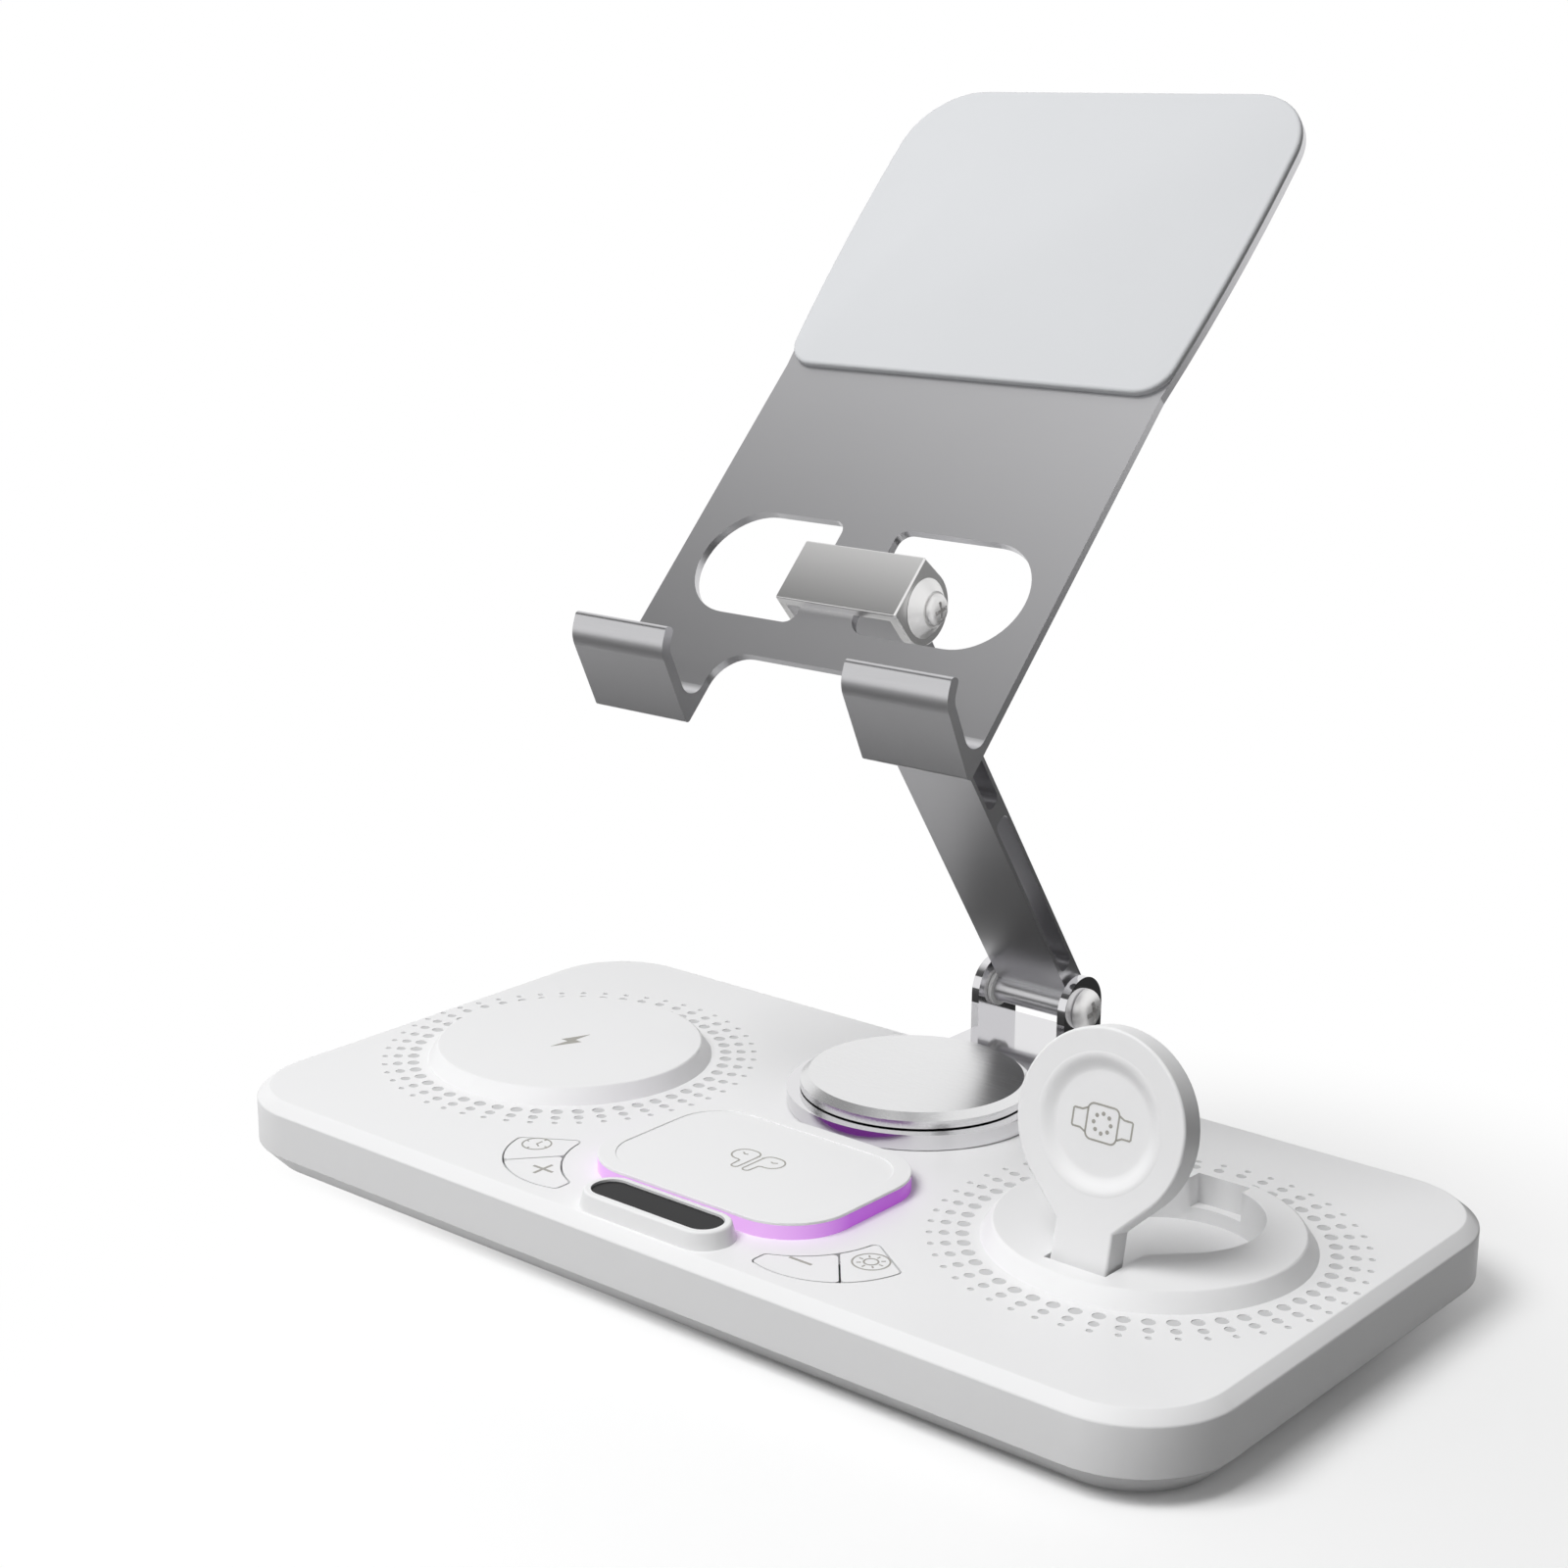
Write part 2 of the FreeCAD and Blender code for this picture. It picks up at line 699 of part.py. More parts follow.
def make_bottom_cover():
    pan = taper(
        "floor_pan",
        outline(
            "floor_pan_low", "base_length - 2 * foot_run", "base_depth - 2 * foot_run",
            "base_corner - foot_run", z="mat_proud",
        ),
        outline("floor_pan_high", "base_length", "base_depth", "base_corner", z="seam_level - seam_gap"),
    )
    room_low = "(foot_run + shell_wall / 2)"
    room = taper(
        "floor_room",
        outline(
            "floor_room_low", f"base_length - 2 * {room_low}", f"base_depth - 2 * {room_low}",
            f"base_corner - {room_low}", z=FLOOR,
        ),
        outline(
            "floor_room_high", "base_length - 2 * shell_wall", "base_depth - 2 * shell_wall",
            "base_corner - shell_wall", z="seam_level",
        ),
    )
    lip_out = "(shell_wall + lip_gap)"
    lip_in = "(shell_wall + lip_gap + lip_wall)"
    lip_foot = f"({FLOOR} + floor_wall / 2)"
    lip_height = f"seam_level + lip_rise - {lip_foot}"
    lip = cut(
        "floor_lip",
        slab(
            "floor_lip_out", f"base_length - 2 * {lip_out}", f"base_depth - 2 * {lip_out}",
            f"base_corner - {lip_out}", lip_height, z=lip_foot,
        ),
        slab(
            "floor_lip_in", f"base_length - 2 * {lip_in}", f"base_depth - 2 * {lip_in}",
            f"base_corner - {lip_in}", f"{lip_height} + 2 * cut_past", z=f"{lip_foot} - cut_past",
        ),
    )
    posts = [
        cylinder(
            f"floor_post_{n}", "case_post_radius", f"case_post_level - {FLOOR} + floor_wall / 2", x, y,
            f"{FLOOR} - floor_wall / 2",
        )
        for n, (x, y) in enumerate(CORNER_SCREWS)
    ]
    board_posts = [
        cylinder(
            f"floor_board_post_{n}", "board_post_radius", f"board_level - {FLOOR} + floor_wall / 2",
            f"{sx} * (board_length / 2 - board_post_inset)",
            f"board_y + {sy} * (board_depth / 2 - board_post_inset)", f"{FLOOR} - floor_wall / 2",
        )
        for n, (sx, sy) in enumerate(((-1, -1), (-1, 1), (1, -1), (1, 1)))
    ]
    power_posts = [
        cylinder(
            f"floor_power_post_{n}", "board_post_radius", f"board_level - {FLOOR} + floor_wall / 2",
            f"power_x + {sx} * (power_length / 2 - board_post_inset)",
            "power_y - power_depth / 2 + board_post_inset", f"{FLOOR} - floor_wall / 2",
        )
        for n, sx in enumerate((-1, 1))
    ]
    solid = fuse("floor_solid", cut("floor_shell", pan, room), lip, *posts, *board_posts, *power_posts)
    holes = [slab(
        "floor_mat_seat", "base_length - 2 * mat_margin", "base_depth - 2 * mat_margin", "mat_corner",
        "mat_seat + cut_past", z="mat_proud - cut_past",
    )]
    for n, (x, y) in enumerate(CORNER_SCREWS):
        holes.append(cylinder(
            f"floor_head_hole_{n}", "case_head_radius + screw_gap", "case_head_level", x, y, "0",
        ))
        holes.append(cylinder(
            f"floor_shank_hole_{n}", "case_shank_radius + screw_gap", "case_post_level + cut_past",
            x, y, "0",
        ))
    holes.append(block(
        "floor_socket_gap", "socket_width + 2 * lip_wall", "2 * (shell_wall + 2 * lip_wall)",
        "seam_level + lip_rise", "power_x", "base_depth / 2", f"{BOARD_TOP} - socket_gap",
    ))
    return cut("bottom_cover_solid", solid, *holes)


def make_case_screws():
    screws = []
    for n, (x, y) in enumerate(CORNER_SCREWS):
        head = cylinder(
            f"case_head_{n}", "case_head_radius", "case_head_height", x, y,
            "case_head_level - case_head_height",
        )
        shank = cylinder(
            f"case_shank_{n}", "case_shank_radius", "case_shank_end - case_head_level", x, y,
            "case_head_level",
        )
        screws.append(fuse(f"case_screw_{n}", head, shank))
    return group("case_screw_group", *screws)


def make_light_ring():
    height = "(bud_height - lid_edge)"
    spigot = slab(
        "ring_spigot", "bud_length - 2 * ring_spigot_step", "bud_depth - 2 * ring_spigot_step",
        "bud_corner - ring_spigot_step", "ring_spigot_depth", y="bud_y", z="base_top - ring_spigot_depth",
    )
    band = slab("ring_band", "bud_length", "bud_depth", "bud_corner", height, y="bud_y", z="base_top")
    bore = slab(
        "ring_bore", "bud_length - 2 * ring_wall", "bud_depth - 2 * ring_wall", "bud_corner - ring_wall",
        f"{height} + ring_spigot_depth + 2 * cut_past",
        y="bud_y", z="base_top - ring_spigot_depth - cut_past",
    )
    return cut("light_ring_solid", fuse("ring_solid", spigot, band), bore)


def make_earbud_lid():
    skirt_out = "(ring_wall + ring_gap)"
    skirt_in = "(ring_wall + ring_gap + lid_skirt_wall)"
    skirt_foot = f"({BUD_TOP} - lid_thickness - lid_skirt_depth)"
    edge = slab(
        "lid_edge_slab", "bud_length", "bud_depth", "bud_corner", "lid_edge", y="bud_y",
        z=f"{BUD_TOP} - lid_edge",
    )
    middle = slab(
        "lid_middle", f"bud_length - 2 * {skirt_out}", f"bud_depth - 2 * {skirt_out}",
        f"bud_corner - {skirt_out}", "lid_thickness", y="bud_y", z=f"{BUD_TOP} - lid_thickness",
    )
    recess = slab(
        "lid_recess_slab", "bud_length - 2 * lid_rim", "bud_depth - 2 * lid_rim", "bud_corner - lid_rim",
        "lid_recess + cut_past", y="bud_y", z=f"{BUD_TOP} - lid_recess",
    )
    plate = rounded(
        "lid_top", cut("lid_sunk", fuse("lid_plate", edge, middle), recess), "lid_round",
        flat_at("Z", value(BUD_TOP)),
    )
    skirt = cut(
        "lid_skirt",
        slab(
            "lid_skirt_out", f"bud_length - 2 * {skirt_out}", f"bud_depth - 2 * {skirt_out}",
            f"bud_corner - {skirt_out}", "lid_skirt_depth", y="bud_y", z=skirt_foot,
        ),
        slab(
            "lid_skirt_in", f"bud_length - 2 * {skirt_in}", f"bud_depth - 2 * {skirt_in}",
            f"bud_corner - {skirt_in}", "lid_skirt_depth + cut_past",
            y="bud_y", z=f"{skirt_foot} - cut_past",
        ),
    )
    return fuse("earbud_lid_solid", plate, skirt)


def disc_ring(name, radius, eye_radius, height, x, y, z):
    disc = cylinder(f"{name}_disc", radius, height, x, y, z)
    eye = cylinder(f"{name}_eye", eye_radius, f"{height} + 2 * cut_past", x, y, f"{z} - cut_past")
    return cut(f"{name}_solid", disc, eye)


def make_coils():
    coil_foot = f"({PAD_TOP} - pad_wall - coil_gap - coil_height)"
    keep(
        disc_ring(
            "phone_coil", "coil_radius", "coil_eye_radius", "coil_height", "-pad_x", "pad_y", coil_foot,
        ),
        "phone_coil",
    )
    keep(
        cylinder(
            "phone_ferrite_solid", "ferrite_radius", "ferrite_height", "-pad_x", "pad_y",
            f"{coil_foot} - coil_gap - ferrite_height",
        ),
        "phone_ferrite",
    )
    bud_foot = f"({BUD_TOP} - lid_thickness - coil_gap - bud_coil_height)"
    keep(
        disc_ring(
            "earbud_coil", "bud_room - bud_coil_margin", "bud_coil_eye_radius", "bud_coil_height",
            "0", "bud_y", bud_foot,
        ),
        "earbud_coil",
    )
    keep(
        cylinder(
            "earbud_ferrite_solid", "bud_room - bud_ferrite_margin", "bud_ferrite_height", "0", "bud_y",
            f"{bud_foot} - coil_gap - bud_ferrite_height",
        ),
        "earbud_ferrite",
    )


def make_keys():
    """Two keys on the right, and their mirror images on the left."""
    flange_top = f"({CEILING} - key_flange_gap)"
    flange_foot = f"({CEILING} - key_flange_gap - key_flange_height)"
    stem_foot = f"({BOARD_TOP} + switch_height + plunger_height + key_travel + key_stem_gap)"
    for side, right, left in (("near", "minus_key", "plus_key"), ("far", "light_key", "clock_key")):
        cap = key_blank(
            f"{right}_cap", "-key_gap", flange_top, f"base_top - {flange_top}", side,
            "key_corner - key_gap",
        )
        flange = key_blank(f"{right}_flange", "key_flange", flange_foot, "key_flange_height", side)
        stem = cylinder(
            f"{right}_stem", "key_stem_radius", f"{flange_top} - {stem_foot}", f"{side}_key_x",
            f"{side}_key_y", stem_foot,
        )
        solid = keep(fuse(f"{right}_solid", cap, flange, stem), right)
        keep(mirrored(f"{left}_solid", solid), left)


def make_boards():
    keep(
        block(
            "main_board_solid", "board_length", "board_depth", "board_thickness", "0", "board_y",
            "board_level",
        ),
        "main_board",
    )
    keep(
        block(
            "power_board_solid", "power_length", "power_depth", "board_thickness", "power_x", "power_y",
            "board_level",
        ),
        "power_board",
    )
    chips = [
        block(
            f"chip_{n}", "chip_side", "chip_side", "chip_height", f"{n - 1} * chip_pitch", "chip_y",
            BOARD_TOP,
        )
        for n in range(3)
    ]
    keep(group("board_chip_group", *chips), "board_chips")
    switches = []
    for n, (sx, side) in enumerate((sx, side) for sx in (-1, 1) for side in ("near", "far")):
        x, y = f"{sx} * {side}_key_x", f"{side}_key_y"
        case = block(f"switch_case_{n}", "switch_side", "switch_side", "switch_height", x, y, BOARD_TOP)
        plunger = cylinder(
            f"switch_plunger_{n}", "plunger_radius", "plunger_height", x, y,
            f"{BOARD_TOP} + switch_height",
        )
        switches.append(fuse(f"switch_{n}", case, plunger))
    keep(group("switch_group", *switches), "key_switches")
    lamp_x = "(bud_length / 2 - ring_wall)"
    lamps = [
        block(
            f"lamp_{n}", "lamp_side", "lamp_side", "lamp_height", f"{sx} * {lamp_x}",
            f"bud_y + {sy} * bud_depth / 4", BOARD_TOP,
        )
        for n, (sx, sy) in enumerate(((-1, -1), (-1, 1), (1, -1), (1, 1)))
    ]
    keep(group("lamp_group", *lamps), "night_light_lamps")
    inset = "(window_rim + display_gap)"
    module = slab(
        "display_module_solid", f"lens_length - 2 * {inset}", f"lens_depth - 2 * {inset}",
        f"lens_corner - {inset}", f"{LENS_SEAT} - display_gap - {BOARD_TOP}", y="hood_y", z=BOARD_TOP,
    )
    keep(module, "display_module")


def make_charge_socket():
    """The shell of the charging inlet, open to the rear, with its tongue."""
    mouth = "(base_depth / 2 - socket_sink)"
    wide = "socket_width - 2 * socket_wall"
    tall = "socket_height - 2 * socket_wall"
    shell = block(
        "socket_shell", "socket_width", "socket_depth", "socket_height", "power_x",
        f"{mouth} - socket_depth / 2", BOARD_TOP,
    )
    hollow = block(
        "socket_hollow", wide, "socket_depth", tall, "power_x", f"{mouth} - socket_depth / 2 + cut_past",
        f"{BOARD_TOP} + socket_wall",
    )
    tongue = block(
        "socket_tongue", "socket_tongue_width", "socket_depth - socket_tongue_sink", "2 * socket_wall",
        "power_x", f"{mouth} - socket_depth / 2 - socket_tongue_sink / 2",
        f"{BOARD_TOP} + socket_height / 2 - socket_wall",
    )
    return fuse("charge_socket_solid", cut("socket_case", shell, hollow), tongue)


def make_turntable():
    anchor_top = f"({FLOOR} + anchor_thickness)"
    keep(
        block(
            "anchor_plate_solid", "anchor_length", "anchor_depth", "anchor_thickness", "0", "pivot_y",
            FLOOR,
        ),
        "anchor_plate",
    )
    post = fuse(
        "pivot_post_solid",
        cylinder("post_flange", "post_flange_radius", "post_flange_height", "0", "pivot_y", anchor_top),
        cylinder(
            "post_shaft", "post_radius", f"{CAP_FOOT} + cap_height - cap_roof - {anchor_top}", "0",
            "pivot_y", anchor_top,
        ),
    )
    keep(post, "pivot_post")
    washer_foot = "(base_top - washer_sink)"
    keep(
        disc_ring(
            "thrust_washer", "washer_radius", "post_radius + post_hole_gap",
            "washer_sink + swivel_gap - swivel_play", "0", "pivot_y", washer_foot,
        ),
        "thrust_washer",
    )
    rim = cylinder("cap_rim", "cap_radius", "cap_height - cap_bevel_drop", "0", "pivot_y", CAP_FOOT)
    bevel = cone(
        "cap_bevel", "cap_radius", "cap_radius - cap_bevel_run", "cap_bevel_drop", "0", "pivot_y",
        f"{CAP_FOOT} + cap_height - cap_bevel_drop",
    )
    collar = cylinder(
        "cap_collar", "cap_collar_radius", "cap_gap - cap_collar_play", "0", "pivot_y",
        f"{SWIVEL_TOP} + cap_collar_play",
    )
    bore = cylinder(
        "cap_bore", "post_radius + tapped_gap", "cap_height - cap_roof + cap_gap + tapped_gap", "0",
        "pivot_y", SWIVEL_TOP,
    )
    keep(cut("turntable_cap_solid", fuse("cap_solid", rim, bevel, collar), bore), "turntable_cap")


def make_swivel_plate():
    """A round plate on the pivot, with a neck to the rear and two ears bent up from it."""
    disc = cylinder("swivel_disc", "swivel_radius", "swivel_thickness", "0", "pivot_y", SWIVEL_FOOT)
    neck = box(
        "swivel_neck", f"2 * {EAR_OUTER}", "hinge_y + ear_radius + neck_tail - pivot_y", "swivel_thickness",
        f"-{EAR_OUTER}", "pivot_y", SWIVEL_FOOT,
    )
    flat = fuse("swivel_flat", disc, neck)
    join = value(f"pivot_y + sqrt(swivel_radius ^ 2 - {EAR_OUTER} ^ 2)")
    edge_x = value(EAR_OUTER)
    flat = rounded(
        "swivel_blend", flat, "neck_blend", straight_at(Z_AXIS, x=(-edge_x, edge_x), y=(join,)),
    )
    ears = []
    for n, start in enumerate((f"-{EAR_OUTER}", EAR_INNER)):
        stem = box(
            f"ear_stem_{n}", "ear_thickness", "2 * ear_radius", f"hinge_level - {SWIVEL_FOOT}", start,
            "hinge_y - ear_radius", SWIVEL_FOOT,
        )
        ears += [
            stem,
            rod(
                f"ear_eye_{n}", "ear_radius", start, f"{start} + ear_thickness", "hinge_y", "hinge_level",
            ),
        ]
    solid = fuse("swivel_solid", flat, *ears)
    pin = rod(
        "ear_holes", "hinge_shank_radius + hinge_play", f"-{EAR_OUTER} - cut_past",
        f"{EAR_OUTER} + cut_past", "hinge_y", "hinge_level",
    )
    bore = cylinder(
        "swivel_bore", "post_radius + post_gap", "swivel_thickness + 2 * cut_past", "0", "pivot_y",
        f"{SWIVEL_FOOT} - cut_past",
    )
    return cut("swivel_plate_solid", solid, pin, bore)


def on_arm(item):
    """Set a piece made about the upper hinge, with the arm along -Y, at the arm's place."""
    return place(item, "0", KNUCKLE_Y, KNUCKLE_Z, "arm_angle")


def on_plate(item):
    """Set a piece made about the upper hinge, with the plate in XY, at the plate's place."""
    return place(item, "0", KNUCKLE_Y, KNUCKLE_Z, "plate_angle")


def make_arm_bar():
    """A flat bar with two long slots from side to side, an eye at the top and a barrel at the bottom."""
    half = "arm_width / 2"
    bar = box(
        "arm_slab", "arm_width", "arm_length", "arm_thickness", f"-{half}", "-arm_length",
        "-arm_thickness / 2",
    )
    eye = rod("arm_eye", "arm_barrel_radius", f"-{half}", half)
    barrel = rod("arm_barrel", "arm_barrel_radius", f"-{half}", half, "-arm_length", "arm_barrel_step")
    heel = rod("arm_heel", "arm_thickness / 2", f"-{half}", half, "-arm_length", "0")
    solid = fuse("arm_solid", bar, eye, barrel, heel)
    tall = "(arm_thickness - 2 * arm_wall)"
    slots = []
    spans = (
        ("-arm_length + arm_low_solid", "-arm_length / 2 - arm_web / 2"),
        ("-arm_length / 2 + arm_web / 2", "-arm_high_solid"),
    )
    for n, (start, end) in enumerate(spans):
        slot = box(
            f"arm_slot_{n}", "arm_width + 2 * cut_past", f"({end}) - ({start})", tall,
            f"-{half} - cut_past", start, f"-{tall} / 2",
        )
        slots.append(rounded(f"arm_slot_round_{n}", slot, "slot_corner", straight_at(X_AXIS)))
    depth = "hinge_shank_depth + tapped_gap"
    for n, (y, z) in enumerate((("0", "0"), ("-arm_length", "arm_barrel_step"))):
        radius = "hinge_shank_radius + tapped_gap"
        slots.append(rod(f"arm_tap_{n}_left", radius, f"-{half} - cut_past", f"-{half} + {depth}", y, z))
        slots.append(rod(f"arm_tap_{n}_right", radius, f"{half} - ({depth})", f"{half} + cut_past", y, z))
    return on_arm(cut("arm_bar_solid", solid, *slots))


def both_ends(name, make):
    """The same small piece at the right end and, mirrored, at the left end."""
    right = make(f"{name}_right")
    return [right, mirrored(f"{name}_left", right)]


def sleeve(name, radius, bore, start, end, y="0", z="0"):
    return cut(
        name, rod(f"{name}_body", radius, start, end, y, z),
        rod(f"{name}_bore", bore, f"{start} - cut_past", f"{end} + cut_past", y, z),
    )


def pan_head(name, radius, height, cross, start, y="0", z="0"):
    """A domed screw head along X with a cross recess: a short cylinder cut to a ball."""
    blank = rod(f"{name}_blank", radius, start, f"{start} + {height}", y, z)
    dome_height = f"(head_dome_share * {height})"
    ball_radius = f"({radius} ^ 2 + {dome_height} ^ 2) / (2 * {dome_height})"
    ball = doc.addObject("Part::Sphere", f"{name}_ball")
    link(ball, "Radius", ball_radius)
    place(ball, f"{start} + {height} - ({ball_radius})", y, z)
    dome = doc.addObject("Part::Common", f"{name}_dome")
    dome.Base = blank
    dome.Tool = ball
    slots = [
        box(
            f"{name}_slot_{n}", "cross_depth + cut_past", wide, tall,
            f"{start} + {height} - cross_depth", f"{y} - ({wide}) / 2", f"{z} - ({tall}) / 2",
        )
        for n, (wide, tall) in enumerate(((cross, "cross_slot"), ("cross_slot", cross)))
    ]
    return cut(name, dome, *slots)


def make_hinge_hardware():
    half = "arm_width / 2"
    bore = "hinge_shank_radius + hinge_play"

    def washer(name):
        return sleeve(
            name, "hinge_washer_radius", bore, f"{half} + hinge_play",
            f"{half} + hinge_play + hinge_washer_thickness", "-arm_length", "arm_barrel_step",
        )

    def lower_screw(name):
        start = f"{EAR_OUTER} + hinge_play"
        shank = rod(
            f"{name}_shank", "hinge_shank_radius", f"{half} - hinge_shank_depth", start, "-arm_length",
            "arm_barrel_step",
        )
        return fuse(
            name, shank,
            pan_head(
                f"{name}_head", "hinge_head_radius", "hinge_head_height", "hinge_cross", start,
                "-arm_length", "arm_barrel_step",
            ),
        )

    def spacer(name):
        return sleeve(
            name, "spacer_radius", bore, f"{half} + bracket_play", f"{FLANGE_INNER} - bracket_play",
        )

    cup_start = "(bracket_width / 2 + bracket_play)"

    def cup(name):
        body = cone(
            f"{name}_body", "cup_foot_radius", "cup_top_radius", "cup_height", cup_start, turn="90",
        )
        return cut(
            name, body, rod(
                f"{name}_bore", bore, f"{cup_start} - cut_past", f"{cup_start} + cup_height + cut_past",
            ),
        )

    def upper_screw(name):
        start = f"{cup_start} + cup_height"
        shank = rod(f"{name}_shank", "hinge_shank_radius", f"{half} - hinge_shank_depth", start)
        head = pan_head(
            f"{name}_head", "knuckle_head_radius", "knuckle_head_height", "knuckle_cross", start,
        )
        return fuse(name, shank, head)

    for label, make in (
        ("lower_hinge_washers", washer),
        ("lower_hinge_screws", lower_screw),
        ("upper_hinge_spacers", spacer),
        ("upper_hinge_cups", cup),
        ("upper_hinge_screws", upper_screw),
    ):
        keep(on_arm(group(f"{label}_group", *both_ends(label, make))), label)


PLATE_BACK = "(plate_depth - plate_sheet)"


def make_window(name, sign, tongue, low_corner):
    """A cut-out beside the tongue: square with small corners at the tongue, round at the outer end."""
    tall = "(window_high + window_low)"
    middle = "((window_high - window_low) / 2)"
    run = f"(window_reach - {tall} / 2)"
    start = f"-{run}" if sign < 0 else tongue
    span = f"{run} - {tongue}"
    straight = box(
        f"{name}_box", span, tall, "3 * plate_sheet", start, "-window_low", f"{PLATE_BACK} - plate_sheet",
    )
    inner = value(f"{sign} * {tongue}")
    ends = (("high", "window_corner", "window_high"), ("low", low_corner, "-window_low"))
    for end_name, corner, level in ends:
        straight = rounded(
            f"{name}_{end_name}_corner", straight, corner,
            straight_at(Z_AXIS, x=(inner,), y=(value(level),)),
        )
    end = cylinder(
        f"{name}_end", f"{tall} / 2", "3 * plate_sheet", f"{sign} * {run}", middle,
        f"{PLATE_BACK} - plate_sheet",
    )
    return fuse(name, straight, end)


def bulged(name, foot, thickness):
    """The upper part of the plate's outline: sides bowed a little outwards, round upper corners."""
    blank = box(
        f"{name}_blank", "plate_width + 4 * plate_bulge", "plate_rise - soft_start", thickness,
        "-plate_width / 2 - 2 * plate_bulge", "soft_start", foot,
    )
    bows = [
        place(
            cylinder(f"{name}_bow_{n}", "plate_bulge_radius", thickness),
            f"{sx} * (plate_width / 2 + plate_bulge - plate_bulge_radius)", "plate_bulge_level", foot,
            "90", Z_AXIS,
        )
        for n, sx in enumerate((-1, 1))
    ]
    item = doc.addObject("Part::MultiCommon", f"{name}_sharp")
    item.Shapes = [blank, *bows]
    doc.recompute()
    side = max(v.X for v in item.Shape.Vertexes if v.Y > value("plate_rise") - 0.02)
    return rounded(
        name, item, "plate_corner", straight_at(Z_AXIS, x=(-side, side), y=(value("plate_rise"),)),
    )


def make_hook(name, start):
    """A strip bent up from the plate's lower edge, leaning in, with its tip curled in further."""
    width = "(plate_width - notch_width) / 2"
    bend_y = "(-plate_drop + hook_height * sin(hook_lean))"
    bend_z = f"({PLATE_BACK} + hook_height * cos(hook_lean))"
    leaning = box(
        f"{name}_leaning", width, "hook_sheet", "hook_height", start, "-plate_drop", PLATE_BACK,
        "-hook_lean",
    )
    behind = box(
        f"{name}_behind", width, "2 * hook_sheet", "hook_sheet", start, "-plate_drop",
        f"{PLATE_BACK} - hook_sheet",
    )
    upright = cut(f"{name}_upright", leaning, behind)
    tip = box(f"{name}_tip", width, "hook_sheet", "hook_tip", start, bend_y, bend_z, "-hook_curl")
    foot = box(
        f"{name}_foot", width, "hook_foot", "plate_sheet", start, "-plate_drop + plate_sheet",
        PLATE_BACK,
    )
    strip = rounded(
        f"{name}_strip", fuse(f"{name}_sharp", upright, tip, foot), "hook_heel",
        straight_at(X_AXIS, y=(value("-plate_drop"),), z=(value(PLATE_BACK),)),
    )
    outer = straight_at(X_AXIS, y=(value(bend_y),), z=(value(bend_z),))
    bent = rounded(f"{name}_bent", strip, "hook_bend", outer)
    scoop_y = "-plate_drop + hook_sheet / cos(hook_lean) + plate_sheet * tan(hook_lean)"
    scooped = rounded(
        f"{name}_scooped", bent, "hook_scoop",
        straight_at(X_AXIS, y=(value(scoop_y),), z=(value("plate_depth"),)),
    )
    half_turn = "((hook_curl - hook_lean) / 2)"
    across = f"(hook_sheet / cos({half_turn}))"
    curve_y = f"{bend_y} + {across} * cos(hook_lean + {half_turn})"
    curve_z = f"{bend_z} - {across} * sin(hook_lean + {half_turn})"
    curved = rounded(
        f"{name}_curved", scooped, "hook_curve",
        straight_at(X_AXIS, y=(value(curve_y),), z=(value(curve_z),)),
    )
    end_y = f"{bend_y} + hook_tip * sin(hook_curl)"
    end_z = f"{bend_z} + hook_tip * cos(hook_curl)"
    ends_y = [value(end_y), value(f"{end_y} + hook_sheet * cos(hook_curl)")]
    ends_z = [value(end_z), value(f"{end_z} - hook_sheet * sin(hook_curl)")]
    return rounded(name, curved, "hook_end", straight_at(X_AXIS, y=ends_y, z=ends_z))


def make_phone_plate():
    lower = box(
        "plate_lower", "plate_width", "soft_start + plate_drop - hook_sheet", "plate_sheet",
        "-plate_width / 2", "-plate_drop + hook_sheet", PLATE_BACK,
    )
    flat = fuse("plate_flat", lower, bulged("plate_upper", PLATE_BACK, "plate_sheet"))
    notch_box = block(
        "plate_notch_box", "notch_width", "2 * notch_rise", "3 * plate_sheet", "0", "-plate_drop",
        f"{PLATE_BACK} - plate_sheet",
    )
    notch_top = value("-plate_drop + notch_rise")
    notch = rounded("plate_notch", notch_box, "notch_corner", straight_at(Z_AXIS, y=(notch_top,)))
    windows = [
        make_window("plate_window_left", -1, "tongue_left", "window_corner"),
        make_window("plate_window_right", 1, "tongue_right", "window_relief"),
    ]
    sheet_metal = cut("plate_cut", flat, notch, *windows)
    hooks = [make_hook("hook_left", "-plate_width / 2"), make_hook("hook_right", "notch_width / 2")]
    return on_plate(fuse("phone_plate_solid", sheet_metal, *hooks))


def make_plate_pad():
    pad = rounded(
        "soft_outline", bulged("soft_upper", "plate_depth", "soft_thickness"), "soft_corner",
        straight_at(Z_AXIS, y=(value("soft_start"),)),
    )
    return on_plate(rounded(
        "plate_pad_solid", pad, "soft_round", flat_at("Z", value("plate_depth + soft_thickness")),
    ))


